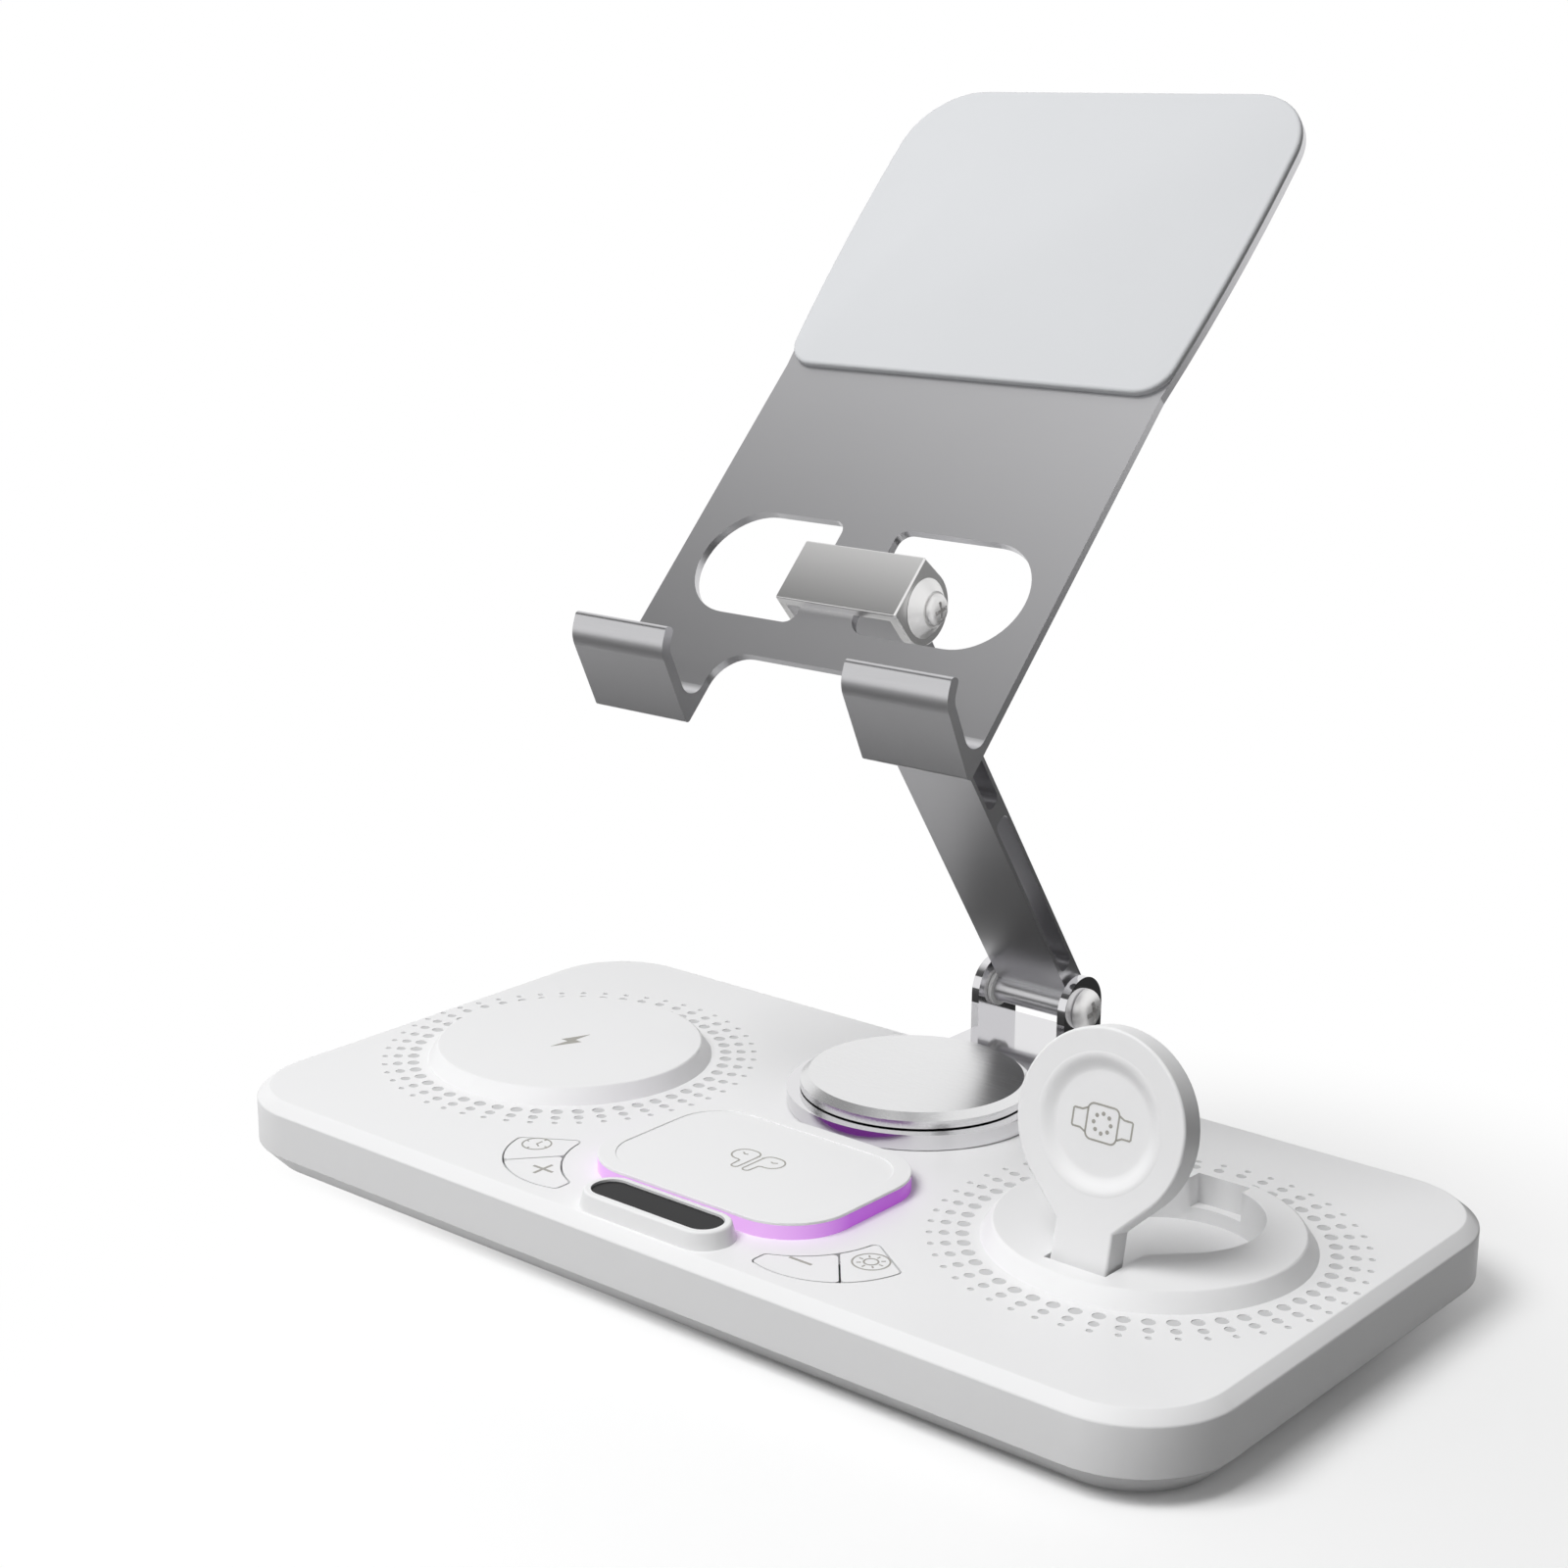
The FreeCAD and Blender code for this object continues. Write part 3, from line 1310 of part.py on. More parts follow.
def make_hook_pads():
    width = "((plate_width - notch_width) / 2 - 2 * hook_pad_inset)"
    corner_up = "(plate_sheet + hook_sheet * sin(hook_lean)) / cos(hook_lean)"
    start_up = f"({corner_up} + hook_scoop / tan(45 - hook_lean / 2) + hook_pad_gap)"
    curve_down = "(hook_sheet + hook_curve) * tan((hook_curl - hook_lean) / 2)"
    height = f"(hook_height - {curve_down} - {start_up} - hook_pad_gap)"
    lift_y = f"(-plate_drop + hook_sheet * cos(hook_lean) + {start_up} * sin(hook_lean))"
    lift_z = f"({PLATE_BACK} - hook_sheet * sin(hook_lean) + {start_up} * cos(hook_lean))"
    pads = [
        box(
            f"hook_pad_{n}", width, "hook_pad_thickness", height, start, lift_y, lift_z, "-hook_lean",
        )
        for n, start in enumerate((
            "-plate_width / 2 + hook_pad_inset", "notch_width / 2 + hook_pad_inset",
        ))
    ]
    return on_plate(group("hook_pad_group", *pads))


def make_hinge_bracket():
    """A saddle: a web on the front of the tongue and a flange through each cut-out to the hinge screw."""
    half = "bracket_width / 2"
    web = box(
        "bracket_web", "bracket_width", "bracket_height", "bracket_sheet", f"-{half}",
        "-bracket_height / 2", "plate_depth",
    )
    flanges = []
    for n, start in enumerate((f"-{half}", FLANGE_INNER)):
        flanges.append(box(
            f"bracket_side_{n}", "bracket_sheet", "bracket_height", "plate_depth + bracket_sheet", start,
            "-bracket_height / 2", "0",
        ))
        flanges.append(rod(f"bracket_eye_{n}", "bracket_eye_radius", start, f"{start} + bracket_sheet"))
    holes = rod(
        "bracket_holes", "hinge_shank_radius + hinge_play", f"-{half} - cut_past", f"{half} + cut_past",
    )
    bent = rounded(
        "bracket_bent", fuse("bracket_solid", web, *flanges), "bracket_round",
        straight_at(
            Y_AXIS, x=(value(f"-{half}"), value(half)), z=(value("plate_depth + bracket_sheet"),),
        ),
    )
    return on_plate(cut("hinge_bracket_solid", bent, holes))


def on_watch(item):
    """Set a piece made about the watch holder's hinge, standing along Z, at the holder's place."""
    return place(item, "pad_x", "watch_y", "watch_level", "-watch_tilt")


def drum(name, radius, front, back):
    """A cylinder along Y at the middle of the watch holder's head, from front to back."""
    item = doc.addObject("Part::Cylinder", name)
    link(item, "Radius", radius)
    link(item, "Height", f"({back}) - ({front})")
    return place(item, "0", f"({back})", "watch_reach", "90", X_AXIS)


def make_watch_holder():
    front = "(-watch_thickness / 2)"
    half = "watch_neck_width / 2"
    head = drum("watch_head", "watch_head_radius", front, "watch_thickness / 2")
    neck = box("watch_neck", "watch_neck_width", "watch_thickness", "watch_reach", f"-{half}", front, "0")
    flanks = box(
        "watch_flanks", "watch_head_radius", "watch_thickness", "watch_head_radius", "0", front,
        "watch_reach", "90 + watch_flank_angle", Y_AXIS,
    )
    knuckle = rod("watch_knuckle", "watch_thickness / 2", f"-{half}", half)
    blank = fuse("watch_blank", head, neck, flanks, knuckle)
    faces = flat_at("Y", value(front), value("watch_thickness / 2"))

    def outline_edge(edge):
        """Edges round the front and back faces, without the smooth joint to the knuckle."""
        return faces(edge) and edge.CenterOfMass.z > value("watch_thickness / 2")

    soft = rounded("watch_soft", blank, "watch_round", outline_edge)
    seat_back = f"({front} + dish_height + 2 * dish_gap + watch_coil_height)"
    seat = drum("watch_seat", "dish_radius + dish_gap", f"{front} - cut_past", seat_back)
    pin_hole = rod(
        "watch_pin_bore", "watch_pin_radius + watch_pin_play", f"-{half} - cut_past",
        f"{half} + cut_past",
    )
    keep(on_watch(cut("watch_arm_solid", soft, seat, pin_hole)), "watch_arm")

    hollow = cone(
        "dish_hollow_cone", "dish_radius - dish_rim - dish_slope", "dish_radius - dish_rim", "dish_hollow",
        "0", f"{front} + dish_hollow", "watch_reach", "90", X_AXIS,
    )
    disc = drum("dish_disc", "dish_radius", front, f"{front} + dish_height")
    sunk = cut("dish_sunk", disc, hollow)
    rim_level, floor_level = value(front), value(f"{front} + dish_hollow")
    rim_reach = value("dish_radius - dish_rim / 2")

    def hollow_edge(edge):
        round_edge = flat_at("Y", rim_level, floor_level)(edge)
        return round_edge and edge.BoundBox.XMax < rim_reach

    keep(on_watch(rounded("watch_dish_solid", sunk, "dish_round", hollow_edge)), "watch_dish")

    coil_front = f"({seat_back} - watch_coil_height)"
    ring = drum("watch_coil_disc", "watch_coil_radius", coil_front, seat_back)
    eye = drum(
        "watch_coil_eye", "watch_coil_eye_radius", f"{coil_front} - cut_past", f"{seat_back} + cut_past",
    )
    keep(on_watch(cut("watch_coil_solid", ring, eye)), "watch_coil")
    keep(
        on_watch(group(
            "watch_magnet_solid", drum("magnet_disc", "magnet_radius", coil_front, seat_back),
        )),
        "watch_magnet",
    )

    pin_half = "watch_pin_length / 2"
    keep(
        rod(
            "watch_pin_solid", "watch_pin_radius", f"pad_x - {pin_half}", f"pad_x + {pin_half}",
            "watch_y", "watch_level",
        ),
        "watch_pin",
    )


keep(make_top_cover(), "top_cover")
keep(make_bottom_cover(), "bottom_cover")
keep(
    slab(
        "mat_solid", "base_length - 2 * (mat_margin + mat_gap)",
        "base_depth - 2 * (mat_margin + mat_gap)", "mat_corner - mat_gap", "mat_proud + mat_seat",
    ),
    "non_slip_mat",
)
keep(make_case_screws(), "case_screws")
keep(make_light_ring(), "light_ring")
keep(make_earbud_lid(), "earbud_lid")
keep(
    slab(
        "lens_solid", "lens_length", "lens_depth", "lens_corner", "lens_thickness", y="hood_y",
        z=LENS_SEAT,
    ),
    "display_lens",
)
make_coils()
make_keys()
make_boards()
keep(make_charge_socket(), "charge_socket")
make_turntable()
keep(make_swivel_plate(), "swivel_plate")
keep(make_arm_bar(), "arm_bar")
make_hinge_hardware()
keep(make_phone_plate(), "phone_plate")
keep(make_plate_pad(), "plate_pad")
keep(make_hook_pads(), "hook_pads")
keep(make_hinge_bracket(), "hinge_bracket")
make_watch_holder()

doc.recompute()

for item in doc.Objects:
    if "Invalid" in item.State or "Error" in item.State:
        raise RuntimeError(f"{item.Name} failed: {item.State}")
for item in subparts:
    if item.Shape.isNull() or not item.Shape.isValid():
        raise RuntimeError(f"{item.Label} has no valid shape")

os.makedirs("parts", exist_ok=True)
for item in subparts:
    item.Shape.exportStep(f"parts/{item.Label}.step")
    print(item.Label, len(item.Shape.Solids), round(item.Shape.Volume, 1))
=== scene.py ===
import json
import math

import bmesh
import bpy
from mathutils import Matrix, Vector
from mathutils.bvhtree import BVHTree


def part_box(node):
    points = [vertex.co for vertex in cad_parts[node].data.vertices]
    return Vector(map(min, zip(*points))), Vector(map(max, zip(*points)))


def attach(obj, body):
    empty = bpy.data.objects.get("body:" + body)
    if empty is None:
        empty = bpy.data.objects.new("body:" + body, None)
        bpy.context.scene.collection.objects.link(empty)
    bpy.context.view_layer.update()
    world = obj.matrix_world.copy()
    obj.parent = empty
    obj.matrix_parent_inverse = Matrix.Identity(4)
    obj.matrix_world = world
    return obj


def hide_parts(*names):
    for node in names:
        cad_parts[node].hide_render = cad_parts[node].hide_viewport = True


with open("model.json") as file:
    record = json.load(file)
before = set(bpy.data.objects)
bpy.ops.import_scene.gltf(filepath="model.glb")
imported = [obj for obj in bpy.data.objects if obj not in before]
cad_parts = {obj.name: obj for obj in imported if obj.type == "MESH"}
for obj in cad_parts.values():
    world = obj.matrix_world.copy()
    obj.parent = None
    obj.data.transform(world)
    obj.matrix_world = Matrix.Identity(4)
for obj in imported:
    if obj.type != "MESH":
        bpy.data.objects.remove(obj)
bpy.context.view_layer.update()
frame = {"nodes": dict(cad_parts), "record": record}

# Looks of the wireless charging station. Lengths are millimetres unless a comment says metres,
# and MM turns them into the frame's metres.
MM = 0.001

nodes = frame["nodes"]
body_of = {
    name: body for body, names in frame["record"]["behaviour"]["bodies"].items() for name in names
}
slot_of = {part["node"]: part["material_slot"] for part in frame["record"]["subparts"]}

# Places of the marks on the base: X, Y
BOLT_SPOT = (-65.5, 0.3)
EARBUD_SPOT = (0.0, -22.0)
CLOCK_SPOT = (-38.6, -36.3)
PLUS_SPOT = (-29.7, -43.7)
MINUS_SPOT = (28.1, -43.3)
LAMP_SPOT = (36.9, -36.1)

# Rings of dimples round each pad: ring radius, dimple diameter; then dimples to a ring, depth, half
# the thickness of their floors, painted grey as shade in the hollows, the floors' play and the
# sides of a dimple
PAD_X, PAD_Y = 66.0, 0.5
DIMPLE_RINGS = ((30.4, 2.3), (33.4, 1.85), (35.9, 1.15))
DIMPLE_COUNT = 50
DIMPLE_DEPTH = 0.16
DIMPLE_FILL = 0.03
DIMPLE_PLAY = 0.01
DIMPLE_SIDES = 24
# Upward share of a face's normal past which the face counts as level
LEVEL = 0.9999
# Points closer than this are one, and heights closer than this are the same level
WELD, SAME_LEVEL = 0.0005, 0.01
# Height in metres, over everything, from which surfaces are sought
OVERHEAD = 1.0

# Watch holder: hinge, lean to the rear, how far up the dish's middle is, and the front face
WATCH_HINGE = (66.0, -18.4, 15.4)
WATCH_LEAN = math.radians(11.5)
WATCH_REACH = 24.9
WATCH_FRONT = -2.5
# The dish from its hidden back to its middle: radius, height over the holder's front face
DISH_BACK = ((11.0, -2.3), (11.3, -2.2), (11.3, -0.3), (11.58, 0.0), (11.5, 0.02))
DISH_WALL = (11.2, 8.3)
DISH_HOLLOW = 1.02
DISH_MIDDLE = ((7.2, -1.0), (6.0, -0.98), (3.0, -0.98), (0.8, -0.98))
DISH_WALL_STEPS = 14
TURN_STEPS = 96

# Phone plate: hinge line, slope, height of the metal's front over that line; lean of the hooks
PLATE_HINGE = (0.0, 6.9704, 112.6274)
PLATE_SLOPE = math.radians(46.2)
PLATE_FRONT = 4.6
HOOK_LEAN = math.radians(21.0)

# Soft pieces, edges: how far in from the outline, and depth below the outer face
SOFT_EDGE = ((0.0, 0.62), (0.05, 0.42), (0.17, 0.22), (0.36, 0.08), (0.66, 0.0))
MAT_EDGE = (
    (0.0, 0.35), (0.08, 0.16), (0.3, 0.03), (0.6, 0.0), (4.0, 0.0), (4.2, 0.22), (5.0, 0.22),
    (5.2, 0.0),
)
PAD_EDGE = ((0.0, 0.5), (0.06, 0.3), (0.2, 0.12), (0.4, 0.03), (0.7, 0.0))
HOOK_PAD_CORNER = 1.4
OUTLINE_STEPS, CORNER_STEPS = 260, 8

# Folded bracket: half its width, height of its web, sheet, radius round the hinge, corners, worn
# edge, radius of its hole; steps round a corner, round the hinge and round the hole
BRACKET_HALF, BRACKET_HIGH, BRACKET_SHEET, BRACKET_EYE = 13.0, 12.2, 1.7, 6.6
BRACKET_CORNER, BRACKET_WORN, BRACKET_HOLE = 0.3, 0.28, 1.6
BRACKET_STEPS = (6, 64, 48)
# Length of the bracket's cutting tools, in times its height or half its width
TOOL_REACH = 4

# Hinge screws: head radius, head height, cross width across its points, shank radius, shank length
LOWER_SCREW = (4.1, 2.6, 4.6, 1.5, 8.0)
UPPER_SCREW = (2.8, 1.4, 3.5, 1.5, 6.0)
# Heads: height of the rim, flatness of the dome, rise under the head; steps up the dome, sides
SCREW_BRIM, SCREW_FLATNESS, SCREW_UNDERCUT = 0.22, 0.62, 0.02
SCREW_STEPS, SCREW_SIDES = 16, 64
# Cross: arm width and depth as shares of the head, taper to its foot, how far the tool stands out
CROSS_ARM, CROSS_DEPTH, CROSS_TAPER, CROSS_PAST = 0.25, 0.85, 0.75, 0.5
CROSS_TURN = math.radians(14)

# Printed marks: half the ink's thickness, widths of lines, half the length of a sign, and the least
# cosine that a bend's mitre is worked out with
INK_HEIGHT = 0.04
THIN_LINE, SIGN_LINE, SIGN_ARM = 0.3, 0.55, 2.3
MITRE_LIMIT = 0.4

# Finishes: depth of the grain, and how far gloss goes either side of its middle
GRAIN_DEPTH, GLOSS_SPREAD = 0.02, 0.05
# The light ring from its front to its rear: share of its depth, colour of its light
RING_FRONT, RING_REAR = -41.0, -3.0
RING_SHADES = (
    (0.0, (0.74, 0.42, 0.82, 1)), (0.10, (0.64, 0.32, 0.75, 1)), (0.35, (0.37, 0.08, 0.52, 1)),
    (0.75, (0.30, 0.05, 0.42, 1)), (1.0, (0.15, 0.02, 0.22, 1)),
)

# Studio, in metres: where the fill light is strongest and its strength over the cosine from there,
# the overhead lamp, how the floor runs out to white with distance from a spot, its paint where seen
# and where it bounces light, and its size
FILL_FROM = (-0.35, -0.50, 0.79)
FILL_RAMP = (-0.4, 1.0, 0.02, 0.36)
LAMP_PLACE, LAMP_AIM, LAMP_SIZE, LAMP_POWER = (-0.15, -0.48, 0.82), (0.0, -0.01, 0.02), 0.5, 7.9
FLOOR_SHADE_SPOT, FLOOR_FADE = (0.085, -0.045, 0.0), (0.045, 0.19, 0.08, 1.0)
FLOOR_SEEN, FLOOR_BOUNCE = (0.97, 0.97, 0.97, 1), (0.3, 0.3, 0.3, 1)
FLOOR_RADIUS, FLOOR_SIDES = 1.6, 96

# Camera of the photograph: place in metres, yaw, pitch and roll in degrees, lens and sensor in
# millimetres, shift as a share of the picture, nearest depth in metres
CAMERA_PLACE, CAMERA_TURN = (0.280093, -0.352727, 0.199347), (40.631, 14.900, 0.206)
CAMERA_LENS, CAMERA_SENSOR, CAMERA_SHIFT, CAMERA_NEAR = 61.69, 36.0, (0.029, 0.0049), 0.01

# Grey cards that only metal and gloss show, whose shades are painted reflections and shade on the
# metal, in metres: name, middle, where it faces, which way its shades run, width, height, shades
# from one end to the other; then the parts of a card's side
CARDS = (
    (
        "plate_card", (-0.26, -0.03, 0.50), (0.0, 0.035, 0.142), (0.036, 0.2, 0.15), 0.7, 0.7,
        ((0.0, 0.05), (0.28, 0.14), (0.50, 0.76), (0.66, 1.0)),
    ),
    (
        "front_floor_card", (-0.36, -0.52, 0.0015), (-0.36, -0.52, 1.0), (0.0, 1.0, 0.0),
        0.78, 0.88, ((0.0, 0.65), (0.6, 0.3), (1.0, 0.14)),
    ),
    (
        "rear_floor_card", (0.36, 0.52, 0.0015), (0.36, 0.52, 1.0), (0.0, 1.0, 0.0), 0.78, 0.88,
        ((0.0, 0.03), (1.0, 0.10)),
    ),
    (
        "hook_card", (-0.06, -0.0315, 0.0185), (-0.06, -0.0315, 1.0), (0.0, 1.0, 0.0), 0.20, 0.051,
        ((0.0, 0.08), (1.0, 0.04)),
    ),
    (
        "arm_card", (-0.072, 0.024, 0.0185), (-0.072, 0.024, 1.0), (0.0, 1.0, 0.0), 0.088, 0.058,
        ((0.0, 0.75), (0.4, 0.6), (0.75, 0.42), (0.92, 0.16), (1.0, 0.08)),
    ),
    (
        "ear_card", (0.0, 0.028, 0.0236), (0.0, 0.028, 1.0), (0.0, 1.0, 0.0), 0.05, 0.058,
        ((0.0, 0.45), (0.55, 0.12), (1.0, 0.05)),
    ),
)
CARD_PARTS = 4


# Node groups and materials

def node(tree, kind, **inputs):
    """Add a node, setting its inputs by name."""
    item = tree.nodes.new(kind)
    for name, setting in inputs.items():
        item.inputs[name.replace("_", " ")].default_value = setting
    return item


def map_range(tree, limits):
    """A node that maps one range to another; limits are its from and to ends."""
    item = tree.nodes.new("ShaderNodeMapRange")
    for key, setting in zip(("From Min", "From Max", "To Min", "To Max"), limits):
        item.inputs[key].default_value = setting
    return item


def shade_ramp(tree, stops):
    """A colour ramp through the given stops."""
    ramp = tree.nodes.new("ShaderNodeValToRGB")
    elements = ramp.color_ramp.elements
    while len(elements) < len(stops):
        elements.new(0.5)
    for element, (position, colour) in zip(elements, stops):
        element.position = position
        element.color = colour
    return ramp


GRAIN_SOCKETS = (
    ("Gloss Low", "NodeSocketFloat", "INPUT"), ("Gloss High", "NodeSocketFloat", "INPUT"),
    ("Shade Low", "NodeSocketColor", "INPUT"), ("Shade High", "NodeSocketColor", "INPUT"),
    ("Color", "NodeSocketColor", "OUTPUT"), ("Roughness", "NodeSocketFloat", "OUTPUT"),
    ("Height", "NodeSocketFloat", "OUTPUT"),
)


def start_grain(name, size, size_kind, drift_scale):
    """A node group for colour, gloss and fine height, without what drives its grain and gloss.

    Returns the group, the place on the piece, the size input, and the grain, drift and gloss nodes.
    """
    tree = bpy.data.node_groups.new(name, "ShaderNodeTree")
    for label, kind, way in ((size, size_kind, "INPUT"), *GRAIN_SOCKETS):
        tree.interface.new_socket(name=label, in_out=way, socket_type=kind)
    enter = tree.nodes.new("NodeGroupInput")
    leave = tree.nodes.new("NodeGroupOutput")
    place = tree.nodes.new("ShaderNodeTexCoord").outputs["Object"]
    grain = node(tree, "ShaderNodeTexNoise", Detail=3.0)
    drift = node(tree, "ShaderNodeTexNoise", Scale=drift_scale, Detail=2.0)
    gloss = tree.nodes.new("ShaderNodeMapRange")
    shade = tree.nodes.new("ShaderNodeMix")
    shade.data_type = "RGBA"
    link = tree.links.new
    link(place, drift.inputs["Vector"])
    link(enter.outputs["Gloss Low"], gloss.inputs["To Min"])
    link(enter.outputs["Gloss High"], gloss.inputs["To Max"])
    link(drift.outputs["Fac"], shade.inputs["Factor"])
    link(enter.outputs["Shade Low"], shade.inputs["A"])
    link(enter.outputs["Shade High"], shade.inputs["B"])
    link(shade.outputs["Result"], leave.inputs["Color"])
    link(gloss.outputs["Result"], leave.inputs["Roughness"])
    link(grain.outputs["Fac"], leave.inputs["Height"])
    return tree, place, enter.outputs[size], grain, drift, gloss


def make_moulded_grain():
    """Fine spark-eroded grain of a moulded surface, with slow change of gloss across it."""
    tree, place, size, grain, drift, gloss = start_grain(
        "moulded_grain", "Grain Scale", "NodeSocketFloat", drift_scale=28.0,
    )
    grain.inputs["Roughness"].default_value = 0.6
    link = tree.links.new
    link(place, grain.inputs["Vector"])
    link(size, grain.inputs["Scale"])
    link(drift.outputs["Fac"], gloss.inputs["Value"])
    return tree


def make_drawn_grain():
    """Streaks left by drawing or brushing metal, stretched along one axis of the piece."""
    tree, place, size, streak, _, gloss = start_grain(
        "drawn_grain", "Stretch", "NodeSocketVector", drift_scale=22.0,
    )
    streak.inputs["Scale"].default_value = 1.0
    stretch = tree.nodes.new("ShaderNodeMapping")
    link = tree.links.new
    link(place, stretch.inputs["Vector"])
    link(size, stretch.inputs["Scale"])
    link(stretch.outputs["Vector"], streak.inputs["Vector"])
    link(streak.outputs["Fac"], gloss.inputs["Value"])
    return tree


MOULDED = make_moulded_grain()
DRAWN = make_drawn_grain()


def finish_material(name, group, settings, bump, **shader):
    """A material whose colour, gloss and bump come from a grain group; shader sets the rest."""
    material = bpy.data.materials.new(name)
    material.use_nodes = True
    tree = material.node_tree
    surface = tree.nodes["Principled BSDF"]
    for key, setting in shader.items():
        surface.inputs[key.replace("_", " ")].default_value = setting
    grain = tree.nodes.new("ShaderNodeGroup")
    grain.node_tree = group
    for key, setting in settings.items():
        grain.inputs[key].default_value = setting
    relief = node(tree, "ShaderNodeBump", Strength=bump, Distance=GRAIN_DEPTH * MM)
    link = tree.links.new
    link(grain.outputs["Color"], surface.inputs["Base Color"])
    link(grain.outputs["Roughness"], surface.inputs["Roughness"])
    link(grain.outputs["Height"], relief.inputs["Height"])
    link(relief.outputs["Normal"], surface.inputs["Normal"])
    return material


def either_side(shade, gloss, spread):
    """Group settings on either side of a colour and a middle roughness."""
    return {
        "Gloss Low": gloss - GLOSS_SPREAD, "Gloss High": gloss + GLOSS_SPREAD,
        "Shade Low": [c * (1 - spread) for c in shade] + [1],
        "Shade High": [min(1, c * (1 + spread)) for c in shade] + [1],
    }


def moulded(name, shade, gloss, bump=0.15, scale=2600.0, spread=0.03, **shader):
    """Moulded plastic or rubber: shade is its colour, gloss its middle roughness."""
    settings = {"Grain Scale": scale, **either_side(shade, gloss, spread)}
    return finish_material(name, MOULDED, settings, bump, **shader)


def metal(name, shade, gloss, stretch=(90.0, 7000.0, 7000.0), bump=0.03, spread=0.03, **shader):
    """Bare or anodised metal with drawn streaks along the axis of the smallest stretch."""
    settings = {"Stretch": stretch, **either_side(shade, gloss, spread)}
    return finish_material(name, DRAWN, settings, bump, Metallic=1.0, **shader)


def light_ring_material():
    """Milky diffuser lit from behind: violet, paler at its front."""
    material = moulded("light_diffuser_finish", (0.05, 0.012, 0.07), 0.3, Emission_Strength=1.0)
    tree = material.node_tree
    place = tree.nodes.new("ShaderNodeTexCoord")
    split = tree.nodes.new("ShaderNodeSeparateXYZ")
    along = map_range(tree, (RING_FRONT * MM, RING_REAR * MM))
    ramp = shade_ramp(tree, RING_SHADES)
    link = tree.links.new
    link(place.outputs["Object"], split.inputs["Vector"])
    link(split.outputs["Y"], along.inputs["Value"])
    link(along.outputs["Result"], ramp.inputs["Fac"])
    link(ramp.outputs["Color"], tree.nodes["Principled BSDF"].inputs["Emission Color"])
    return material


FINISHES = {
    "white_plastic": moulded("white_plastic_finish", (0.83, 0.83, 0.835), 0.36, spread=0.01),
    "light_diffuser": light_ring_material(),
    "dark_lens": moulded(
        "dark_lens_finish", (0.024, 0.024, 0.025), 0.16, bump=0.02, Specular_IOR_Level=0.05,
    ),
    "black_rubber": moulded(
        "black_rubber_finish", (0.02, 0.02, 0.021), 0.75, bump=0.4, scale=1400.0,
    ),
    "grey_rubber": moulded(
        "grey_rubber_finish", (0.09, 0.09, 0.095), 0.7, bump=0.4, scale=1400.0,
    ),
    "pale_silicone": moulded(
        "pale_silicone_finish", (0.58, 0.59, 0.605), 0.62, bump=0.3, scale=1800.0, spread=0.015,
    ),
    "satin_aluminium": metal("satin_aluminium_finish", (0.63, 0.628, 0.642), 0.33, bump=0.01),
    "polished_steel": metal("polished_steel_finish", (0.74, 0.735, 0.75), 0.10, bump=0.008),
    "cap_metal": metal("cap_metal_finish", (0.78, 0.78, 0.785), 0.26, bump=0.01),
    "bracket_metal": metal("bracket_metal_finish", (0.84, 0.835, 0.83), 0.30, bump=0.012),
    "screw_steel": metal("screw_steel_finish", (0.86, 0.855, 0.85), 0.48),
    "nylon": moulded("nylon_finish", (0.82, 0.82, 0.81), 0.45),
    "plain_steel": metal("plain_steel_finish", (0.55, 0.55, 0.56), 0.28),
    "board_green": moulded("board_green_finish", (0.03, 0.16, 0.06), 0.4),
    "black_plastic": moulded("black_plastic_finish", (0.02, 0.02, 0.02), 0.5),
    "lamp_resin": moulded("lamp_resin_finish", (0.8, 0.78, 0.6), 0.2),
    "copper": metal("copper_finish", (0.62, 0.28, 0.14), 0.35),
    "ferrite": moulded("ferrite_finish", (0.05, 0.05, 0.055), 0.6),
}
# Grey of the dimples' floors: painted shade, darker than the cover as the hollows' shade would be
DIMPLE_PAINTED_SHADE = moulded("dimple_painted_shade_finish", (0.56, 0.56, 0.565), 0.5)
INK = moulded("ink_finish", (0.36, 0.35, 0.32), 0.55, bump=0.2)


for name, slot in slot_of.items():
    nodes[name].data.materials.clear()
    nodes[name].data.materials.append(FINISHES[slot])


# Making pieces

def mesh_from(name, shape):
    """A mesh made from a finished bmesh, which is freed."""
    mesh = bpy.data.meshes.new(name)
    shape.to_mesh(mesh)
    shape.free()
    return mesh


def add_object(name, data):
    """Put a new object in the scene."""
    item = bpy.data.objects.new(name, data)
    bpy.context.scene.collection.objects.link(item)
    return item


def put_in(target, shape):
    """Move a finished bmesh into another bmesh."""
    mesh = mesh_from("moved_shape", shape)
    target.from_mesh(mesh)
    bpy.data.meshes.remove(mesh)


def new_piece(name, shape, body, material, smooth=30):
    """Turn a finished bmesh into a piece that rides on a body; smooth is the sharp edges' angle."""
    mesh = mesh_from(name, shape)
    mesh.materials.append(material)
    mesh.shade_smooth()
    mesh.set_sharp_from_angle(angle=math.radians(smooth))
    item = add_object(name, mesh)
    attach(item, body)
    return item


def stand_in(name, shape, node_name, smooth=30):
    """A piece that is shown in place of a CAD node, on the same body and in the same slot."""
    slot = slot_of[node_name]
    item = new_piece(name, shape, body_of[node_name], FINISHES[slot], smooth)
    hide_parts(node_name)
    return item


